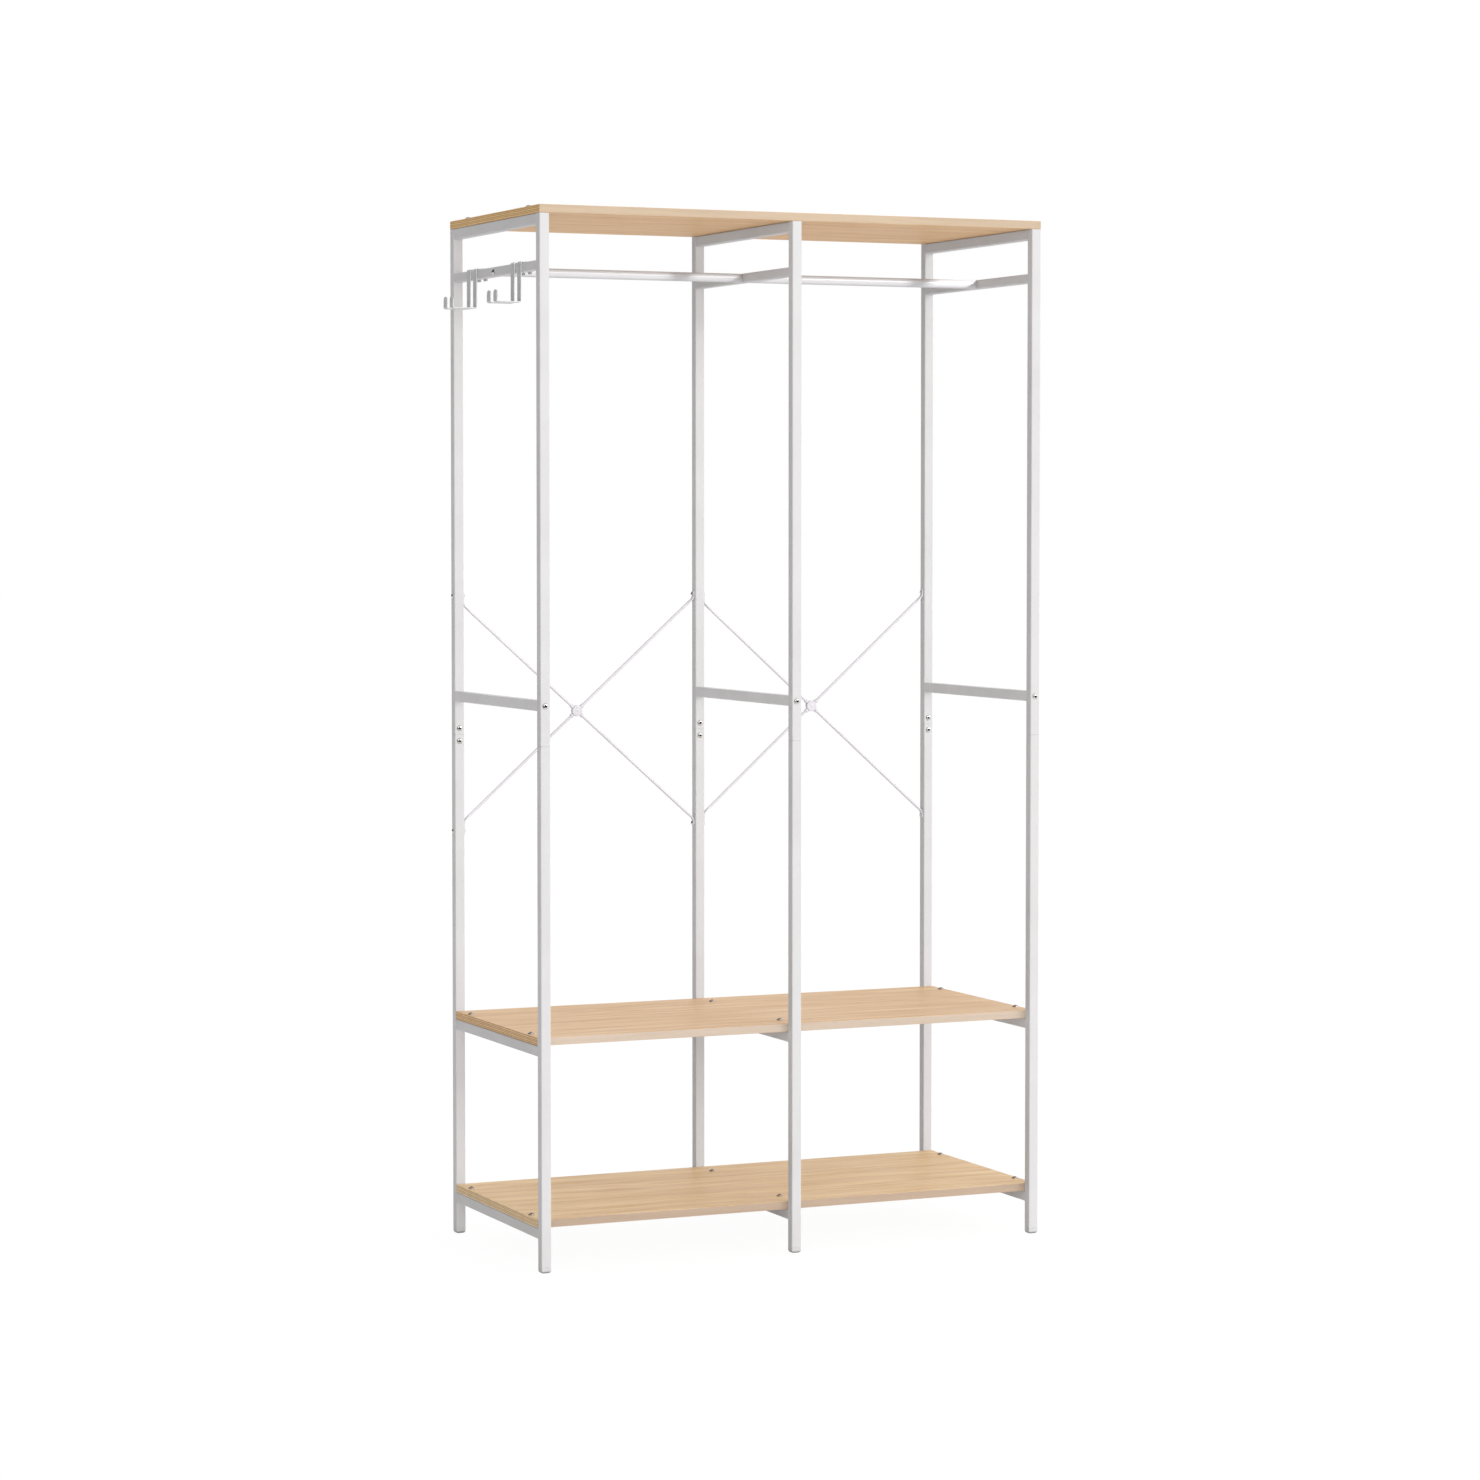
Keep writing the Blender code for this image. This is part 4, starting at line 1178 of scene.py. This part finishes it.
def brace_rod(bolt_place, way_x, way_z, hub, drop, rim, settings):
    """A bent rod: flat tongue on the post, soft change to round, nut and end inside the hub.

    It is worked out in a flat frame, away from the post and away from the bolt, and comes with its
    own direction at the hub. way_x and way_z turn that frame to the rod's corner of the bay.
    """
    lie = CLEARANCE + settings.tongue / 2
    flat = (settings.tongue / 2, settings.tongue_width / 2)
    radius = settings.rod / 2
    tongue_end = 0.0065
    edge = settings.tongue * 0.3
    upright = Vector((0.0, 1.0))
    run = (hub - Vector((lie, drop))).normalized()
    rings = []

    def ring(centre, way, thick, wide, corner):
        aside = Vector((way.y, -way.x))
        points = []
        for out, y in outline(thick, wide, corner, 5):
            point = centre + aside * out
            x = bolt_place[0] + way_x * point.x
            points.append((x, bolt_place[1] + y, bolt_place[2] + way_z * point.y))
        rings.append(points)

    for step in range(9):
        angle = (0.08 + 0.92 * step / 8) * pi / 2
        height = flat[1] * (1 - cos(angle)) - tongue_end
        ring(Vector((lie, height)), upright, flat[0], flat[1] * sin(angle), edge)
    arc = rounded_path([(lie, -tongue_end), (lie, drop), hub], settings.bend)[1:-1]
    for index, centre in enumerate(arc):
        part = index / (len(arc) - 1)
        ring(centre, (upright * (1 - part) + run * part).normalized(), *flat, edge)
    for step in range(1, 11):
        part = step / 10
        blend = part * part * (3 - 2 * part)
        sizes = [start + (radius - start) * blend for start in (*flat, edge)]
        ring(arc[-1] + run * settings.flattened * part, run, *sizes)
    near = rim + CLEARANCE
    far = near + settings.collar_length
    collar = settings.collar / 2
    ease = 0.0005
    for distance, size in (
        (far, radius),
        (far, collar - ease),
        (far - ease, collar),
        (near + ease, collar),
        (near, collar - ease),
        (near, radius),
        (rim - settings.grip, radius),
    ):
        ring(hub - run * distance, run, size, size, size)
    return loft(rings), Vector((way_x * run.x, 0.0, way_z * run.y))


def brace_hub(place, rim, half, holes, settings):
    """A disc with a rounded rim, a rivet on both faces and a bore for each rod."""
    rivet = settings.rivet / 2
    rounding = 0.0014
    dome = ((0.0, 0.0005), (rivet * 0.6, 0.0004), (rivet, 0.0001), (rivet, 0.0))
    profile = [(radius, half + height) for radius, height in dome]
    profile += [(rim - side, half - end) for side, end in eased(rounding, 4)]
    profile += [(radius, -height) for radius, height in reversed(profile)]
    return shaded(drilled(turned(profile, facing(place, (0, -1, 0)), 48), holes))


class GARMENT_RACK_OT_braces(bpy.types.Operator):
    """Build the eight brace rods and the two hubs behind the bays"""

    bl_idname = "garment_rack.braces"
    bl_label = "Build Braces"

    def execute(self, context):
        settings = context.scene.garment_rack.braces
        paint = plain_coat("brace_paint", settings.paint, 0.34, 0.07, 0.2)
        hub_paint = plain_coat("hub_paint", settings.paint, 0.28, 0.05, 0.15)
        for bay, (first, second) in BAYS.items():
            node = "brace_hub_" + bay
            hub = middle(node)
            rim = half_size(node, 0)
            holes = []
            for side, face, way_x, drop in (
                ("left", FRAME_X[first] + POST.x / 2, 1.0, settings.left_drop),
                ("right", FRAME_X[second] - POST.x / 2, -1.0, settings.right_drop),
            ):
                for level, way_z in (("upper", -1.0), ("lower", 1.0)):
                    place = (face, ROW_Y["back"], BRACE_Z[level])
                    flat_hub = Vector((abs(hub.x - face), abs(hub.z - BRACE_Z[level])))
                    mesh, run = brace_rod(place, way_x, way_z, flat_hub, drop, rim, settings)
                    mesh = shaded(drilled(mesh, [(place, ACROSS, BRACE_HOLE, THROUGH_TONGUE)]), 38)
                    name = "_".join(("brace_rod", bay, side, level))
                    show("bent_" + name, mesh, [paint], [name])
                    bore = hub - run * (rim - settings.grip / 2)
                    holes.append((bore, run, settings.rod + 0.0004, settings.grip + 2 * CLEARANCE))
            mesh = brace_hub(hub, rim, half_size(node, 1), holes, settings)
            show("disc_" + node, mesh, [hub_paint], [node])
        return {"FINISHED"}


# Hooks and feet


def split_ends(path, first_rounding, last_rounding):
    """Add points in both ends of a path, where the strip turns narrow."""
    made = []
    for start, goal, reach in ((path[0], path[1], first_rounding), (path[-1], path[-2], last_rounding)):
        run = (goal - start).normalized()
        made.append([start + run * done for rest, done in eased(reach, 12)])
    return made[0] + path[1:-1] + made[1][::-1]


def width_share(distance, rounding, width):
    """How much of its full width a strip has at a distance from its rounded end."""
    if distance >= rounding:
        return 1.0
    inside = sqrt(max(rounding**2 - (rounding - distance) ** 2, 0.0))
    return (width / 2 - rounding + inside) / (width / 2)


class GARMENT_RACK_OT_hooks(bpy.types.Operator):
    """Bend the four strip hooks over the left rail"""

    bl_idname = "garment_rack.hooks"
    bl_label = "Bend Hooks"

    def execute(self, context):
        settings = context.scene.garment_rack.hooks
        steel = hook_steel(settings)
        x = FRAME_X["left"]
        half = settings.strip / 2
        for number in (1, 2, 3, 4):
            node = "hook_" + str(number)
            bottom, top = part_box(node)
            width = top.y - bottom.y
            y = (bottom.y + top.y) / 2
            lie = top.x - x - half
            corners = [
                (x + lie, top.z - settings.inner_leg - settings.strip),
                (x + lie, top.z - half),
                (x - lie, top.z - half),
                (x - lie, bottom.z + half),
                (bottom.x + half, bottom.z + half),
                (bottom.x + half, bottom.z + settings.prong),
            ]
            path = split_ends(rounded_path(corners, settings.bend), settings.cut, settings.tip)
            run = [0.0]
            for before, after in zip(path, path[1:]):
                run.append(run[-1] + (after - before).length)
            narrow = []
            for done in run:
                start = width_share(done, settings.cut, width)
                narrow.append(min(start, width_share(run[-1] - done, settings.tip, width)))
            guide = path_mesh([[(point.x, y, point.y) for point in path]], "narrow", "FLOAT", narrow)
            values = {
                "Strip Width": width,
                "Strip Thickness": settings.strip,
                "Edge Rounding": settings.edge,
                "Middle": y,
                "Finish": steel,
            }
            bm = bmesh.new()
            bm.from_mesh(grown(guide, bent_strip(), values))
            show("strip_" + node, shaded(as_mesh(bm), 35), [steel], [node], node)
        return {"FINISHED"}


def foot_cap(side, row, tubes, settings):
    """A cap with a stem inside the tube and a rounded sole."""
    rim = low("lower_frame_" + side).z - CLEARANCE / 6
    inset = tubes.wall + CLEARANCE
    top = high("foot_" + side + "_" + row).z
    lip = 0.0002
    levels = [(top, inset + tubes.wall), (top - tubes.wall, inset), (rim, inset)]
    levels += [(rim, lip), (rim - lip, 0.0), *eased(settings.rounding, 8)]
    rings = []
    for height, shrink in levels:
        corner = max(tubes.corner - shrink * 0.6, tubes.corner * 0.4)
        points = outline(POST.x / 2 - shrink, POST.y / 2 - shrink, corner)
        rings.append([(FRAME_X[side] + a, ROW_Y[row] + b, height) for a, b in points])
    return shaded(loft(rings), 40)


class GARMENT_RACK_OT_feet(bpy.types.Operator):
    """Mould the six end caps"""

    bl_idname = "garment_rack.feet"
    bl_label = "Mould Feet"

    def execute(self, context):
        settings = context.scene.garment_rack.feet
        tubes = context.scene.garment_rack.tubes
        # The caps get painted shade: darker on the faces that point down.
        cap = plain_coat("moulded_cap", settings.cap, 0.46, 0.14, 0.3, settings.sole)
        for side in SIDES:
            for row in ROWS:
                node = "foot_" + side + "_" + row
                mesh = foot_cap(side, row, tubes, settings)
                show("cap_" + node, mesh, [cap], [node])
        return {"FINISHED"}


# Fasteners


def fastener(head, height, shank, reach, socket):
    """A domed head with a hex socket on a shank with a threaded end, its seat at the origin."""
    radius = head / 2
    dome = radians(78)
    rim = height * 0.28
    chamfer = height * 0.08
    profile = [(0.0, height)]
    for step in range(1, 8):
        angle = step / 7 * dome
        rise = rim + (height - rim) * (cos(angle) - cos(dome)) / (1 - cos(dome))
        profile.append((radius * sin(angle) / sin(dome), rise))
    outer = shank / 2
    core = outer * 0.86
    tip = outer * 0.8
    profile += [(radius, chamfer), (radius - chamfer, 0.0), (outer, 0.0)]
    pitch = 0.0008
    thread = min(reach * 0.5, 0.010)
    profile.append((outer, thread - reach))
    count = int(thread / pitch)
    for turn in range(count):
        foot = thread - reach - thread * (turn + 1) / count
        profile.append((core, foot + thread / count * 0.5))
        profile.append((outer if turn + 1 < count else tip, foot))
    profile.append((0.0, -reach))
    across = socket / sqrt(3)
    key = cylinder(2 * across, height * 1.24, Matrix.Translation((0.0, 0.0, height)), 6)
    mesh = shaded(combined(turned(profile, Matrix.Identity(4), 28), [key], "DIFFERENCE"), 34)
    # The socket attribute marks the faces inside the hex socket, which the finish paints near black as
    # painted shade.
    centres = [face.center for face in mesh.polygons]
    marks = [float(centre.xy.length < across and 0.0 < centre.z < height * 0.85) for centre in centres]
    mesh.attributes.new("socket", "FLOAT", "FACE").data.foreach_set("value", marks)
    return mesh


def post_places(settings):
    """Where cross bar bolts and sleeve screws sit on the posts, and the nodes of those bolts."""
    bolts, screws, nodes = [], [], []
    for side, x in FRAME_X.items():
        for row in ROWS:
            out = -INWARD[row]
            bolts.append(((x, ROW_Y[row] + out * POST.y / 2, CROSS_AXIS), (0.0, out, 0.0)))
            nodes.append("cross_bar_bolt_" + side + "_" + row)
            for way in WAYS:
                height = SEAM + way * settings.sleeve_pitch / 2
                screws.append(((x, ROW_Y[row] - out * POST.y / 2, height), (0.0, -out, 0.0)))
    return bolts, screws, nodes


def brace_places(tongue):
    """Where brace bolts sit, on the post or on a tongue, and their nodes."""
    places, nodes = [], []
    for level in LEVELS:
        for side, out, under in (("left", -1.0, 0.0), ("middle", -1.0, tongue), ("right", 1.0, 0.0)):
            node = "brace_bolt_" + side + "_" + level
            x = FRAME_X[side] + out * (POST.x / 2 + under)
            places.append(((x, ROW_Y["back"], middle(node).z), (out, 0.0, 0.0)))
            nodes.append(node)
    return places, nodes


class GARMENT_RACK_OT_fasteners(bpy.types.Operator):
    """Set all bolts and screws, each turned by its own amount"""

    bl_idname = "garment_rack.fasteners"
    bl_label = "Set Bolts and Screws"

    def execute(self, context):
        settings = context.scene.garment_rack.fasteners
        tongue = CLEARANCE + context.scene.garment_rack.braces.tongue
        zinc = fastener_metal("fastener_zinc", settings.zinc, 0.15)
        # The board screws get a rougher copy of the same zinc, painted darker and browner: painted shade
        # and painted reflection of the wood.
        dull_and_shaded_zinc = fastener_metal("board_screw_zinc_painted_darker", settings.board_zinc, 0.30)
        cross, sleeves, cross_nodes = post_places(settings)
        crossing, brace_nodes = brace_places(tongue)
        rods = []
        for side, out in (("left", -1.0), ("right", 1.0)):
            rods.append(((FRAME_X[side] + out * BAR.x / 2, 0.0, ROD_AXIS), (out, 0.0, 0.0)))
        screws = []
        for board in BOARDS:
            height = high(board).z
            for x in FRAME_X.values():
                screws += [((x, y, height), (0.0, 0.0, 1.0)) for y in screw_rows(settings)]
        board = high("top_board").z - low("top_board").z
        # The sizes of each group: head, its height, shank, its length, hex socket.
        cross_sizes = (settings.cross_head, 0.0030, 0.006, POST.y + 0.011, 0.0044)
        rod_sizes = (settings.rod_head, 0.0030, 0.006, BAR.x + 0.011, 0.0040)
        brace_sizes = (settings.brace_head, 0.0026, 0.005, POST.x + tongue + 0.002, 0.0034)
        screw_sizes = (settings.board_head, 0.0034, 0.006, board + 0.006, 0.0046)
        sleeve_sizes = (settings.sleeve_head, 0.0028, 0.004, 0.006, 0.0042)
        for name, places, sizes, finish, nodes in (
            ("cross_bar_bolts", cross, cross_sizes, zinc, cross_nodes),
            ("rod_bolts", rods, rod_sizes, zinc, ["rod_bolt_left", "rod_bolt_right"]),
            ("brace_bolts", crossing, brace_sizes, zinc, brace_nodes),
            ("board_screws", screws, screw_sizes, dull_and_shaded_zinc, []),
            ("sleeve_screws", sleeves, sleeve_sizes, zinc, []),
        ):
            master = helper(name + "_master", fastener(*sizes))
            points = [[place] for place, way in places]
            ways = [part for place, way in places for part in way]
            guide = path_mesh(points, "facing", "FLOAT_VECTOR", ways)
            values = {"Fastener": master, "Seed": settings.seed, "Finish": finish}
            mesh = grown(guide, fastener_places(), values)
            bpy.data.objects.remove(master, do_unlink=True)
            show(name, mesh, [finish], nodes)
        return {"FINISHED"}


class GARMENT_RACK_OT_inner_parts(bpy.types.Operator):
    """Give the sleeves and the stud inside the tubes their plated finish"""

    bl_idname = "garment_rack.inner_parts"
    bl_label = "Plate Inner Parts"

    def execute(self, context):
        plated = sleeve_zinc(context.scene.garment_rack.fasteners)
        for name, node in frame["nodes"].items():
            if name.startswith("joint_sleeve_") or name == "rod_stud_middle":
                node.data.materials.clear()
                node.data.materials.append(plated)
        return {"FINISHED"}


# Studio


def lay_floor(settings):
    """A wide round floor, its rim far behind the rack.

    The bright metal sees a dark card on it at the left. The camera sees it nearly all white, with
    a share of its shade.
    """
    bm = bmesh.new()
    bmesh.ops.create_circle(bm, cap_ends=True, segments=96, radius=FLOOR_RADIUS)
    mesh = as_mesh(bm)
    if mesh.polygons[0].normal.z < 0:
        mesh.flip_normals()
    values = {
        "Colour": settings.floor,
        "Patch Colour": toned(settings.floor, 0.99),
        "Patches per Metre": 0.7,
        "Grains per Metre": 300.0,
        "Speck Amount": 0.0,
        "Roughness": 0.75,
        "Relief": 0.02,
    }

    def dark_card(tree, skin):
        place = object_place(tree)
        glossy = tree.nodes.new("ShaderNodeLightPath").outputs["Is Glossy Ray"]
        card = toward(tree, place, FLOOR_CARD_LEFT, 0.9, 1.5, 0.0, settings.card)
        card = times(tree, card, glossy)
        card = times(tree, card, between(tree, part_of(tree, place, "Y"), 0.4, -0.2))
        return mixed(tree, card, skin, (0.02, 0.02, 0.02))

    finish = new_finish("floor_paint", coat_skin(), values, {"Specular IOR Level": 0.2}, dark_card)
    tree = finish.node_tree
    seen = tree.nodes.new("ShaderNodeLightPath").outputs["Is Camera Ray"]
    white = times(tree, seen, 1.0 - settings.floor_shade)
    glow = value_of(tree, "ShaderNodeEmission", {"Color": WHITE, "Strength": 1.03})
    both = {0: white, 1: tree.nodes["Principled BSDF"].outputs[0], 2: glow}
    both = value_of(tree, "ShaderNodeMixShader", both)
    tree.links.new(both, tree.nodes["Material Output"].inputs["Surface"])
    mesh.materials.append(finish)
    return helper("floor", mesh)


def light_room(scene, settings):
    """White light from all round, stronger from the front right, from a band above and from behind.

    A dark board stands at the back left. The bright metal sees a dark card on the left, and the
    camera sees plain white.
    """
    world = bpy.data.worlds.new("studio_light")
    scene.world = world
    world.use_nodes = True
    scene.view_settings.view_transform = "Standard"
    tree = world.node_tree
    rays = tree.nodes.new("ShaderNodeLightPath").outputs
    way = tree.nodes.new("ShaderNodeTexCoord").outputs["Generated"]
    height = part_of(tree, way, "Z")
    lean = times(tree, along(tree, way, FRONT_RIGHT), settings.fill_lean)
    above = between(tree, height, -0.05, 0.12, 0.0, settings.top_light)
    above = minus(tree, above, between(tree, height, 0.42, 0.85, 0.0, settings.top_light))
    behind = toward(tree, way, BEHIND, 0.0, 0.9, 0.0, settings.rear_light)
    lit = plus(tree, plus(tree, plus(tree, lean, settings.fill), above), behind)
    lit = times(tree, lit, toward(tree, way, BACK_LEFT, 0.74, 0.88, 1.0, settings.flag))
    card = toward(tree, way, CARD_LEFT, 0.70, 0.84, 0.0, settings.card)
    lit = times(tree, lit, minus(tree, 1.0, times(tree, card, rays["Is Glossy Ray"])))
    back = tree.nodes["Background"]
    back.inputs["Color"].default_value = (*WHITE, 1.0)
    tree.links.new(math_node(tree, "MAXIMUM", lit, rays["Is Camera Ray"]), back.inputs["Strength"])


def add_key_lights(settings):
    """Light from the front right. A part throws no shadows, but on the rods all of it does."""
    for name, strength, spread, shadows, state in (
        ("key_light", settings.key, settings.key_spread, True, None),
        ("open_key_light", settings.open_key, settings.key_spread, False, "EXCLUDE"),
        ("rod_key_light", settings.rod_key, settings.key_spread / 3, True, "INCLUDE"),
    ):
        light = bpy.data.lights.new(name, "SUN")
        light.energy = strength
        light.angle = spread
        light.use_shadow = shadows
        made = helper(name, light)
        made.location = KEY_PLACE
        made.rotation_euler = KEY_AIM.to_track_quat("-Z", "Y").to_euler()
        if state:
            receivers = bpy.data.collections.new(name + "_receivers")
            for bay in BAYS:
                receivers.objects.link(bpy.data.objects["enamel_rod_" + bay])
            for link in receivers.collection_objects:
                link.light_linking.link_state = state
            made.light_linking.receiver_collection = receivers


def place_camera(scene, settings):
    data = bpy.data.cameras.new("front_left_camera")
    data.sensor_width = 36.0
    data.lens = settings.lens
    data.shift_y = -0.03
    data.clip_end = 200.0
    made = helper("front_left_camera", data)
    made.location = CAMERA_PLACE
    made.rotation_euler = (pi / 2 - settings.tilt, 0.0, -settings.turn)
    scene.camera = made


class GARMENT_RACK_OT_stage(bpy.types.Operator):
    """Lay the pale floor, set the soft lights and place the camera"""

    bl_idname = "garment_rack.stage"
    bl_label = "Set Stage"

    def execute(self, context):
        settings = context.scene.garment_rack.stage
        floor = lay_floor(settings)
        light_room(context.scene, settings)
        add_key_lights(settings)
        place_camera(context.scene, settings)
        return {"FINISHED"}


OPERATORS = (
    GARMENT_RACK_OT_frames,
    GARMENT_RACK_OT_welds,
    GARMENT_RACK_OT_boards,
    GARMENT_RACK_OT_rods,
    GARMENT_RACK_OT_braces,
    GARMENT_RACK_OT_hooks,
    GARMENT_RACK_OT_feet,
    GARMENT_RACK_OT_fasteners,
    GARMENT_RACK_OT_inner_parts,
    GARMENT_RACK_OT_stage,
)


class VIEW3D_PT_garment_rack(bpy.types.Panel):
    """The rack's operators and settings"""

    bl_label = "Garment Rack"
    bl_idname = "VIEW3D_PT_garment_rack"
    bl_space_type = "VIEW_3D"
    bl_region_type = "UI"
    bl_category = "Garment Rack"

    def draw(self, context):
        column = self.layout.column(align=True)
        for operator in OPERATORS:
            column.operator(operator.bl_idname)
        for label in GarmentRackSettings.__annotations__:
            box = self.layout.box()
            box.label(text=label.capitalize())
            group = getattr(context.scene.garment_rack, label)
            for key in group.__annotations__:
                box.prop(group, key)


CLASSES = (
    TubeSettings,
    BoardSettings,
    RodSettings,
    BraceSettings,
    HookSettings,
    FootSettings,
    FastenerSettings,
    StageSettings,
    GarmentRackSettings,
    *OPERATORS,
    VIEW3D_PT_garment_rack,
)


def register():
    for item in CLASSES:
        bpy.utils.register_class(item)
    bpy.types.Scene.garment_rack = PointerProperty(type=GarmentRackSettings)


def unregister():
    del bpy.types.Scene.garment_rack
    for item in reversed(CLASSES):
        bpy.utils.unregister_class(item)


def main():
    register()
    bpy.ops.garment_rack.frames()
    bpy.ops.garment_rack.welds()
    bpy.ops.garment_rack.boards()
    bpy.ops.garment_rack.rods()
    bpy.ops.garment_rack.braces()
    bpy.ops.garment_rack.hooks()
    bpy.ops.garment_rack.feet()
    bpy.ops.garment_rack.fasteners()
    bpy.ops.garment_rack.inner_parts()
    bpy.ops.garment_rack.stage()


if __name__ == "__main__":
    main()
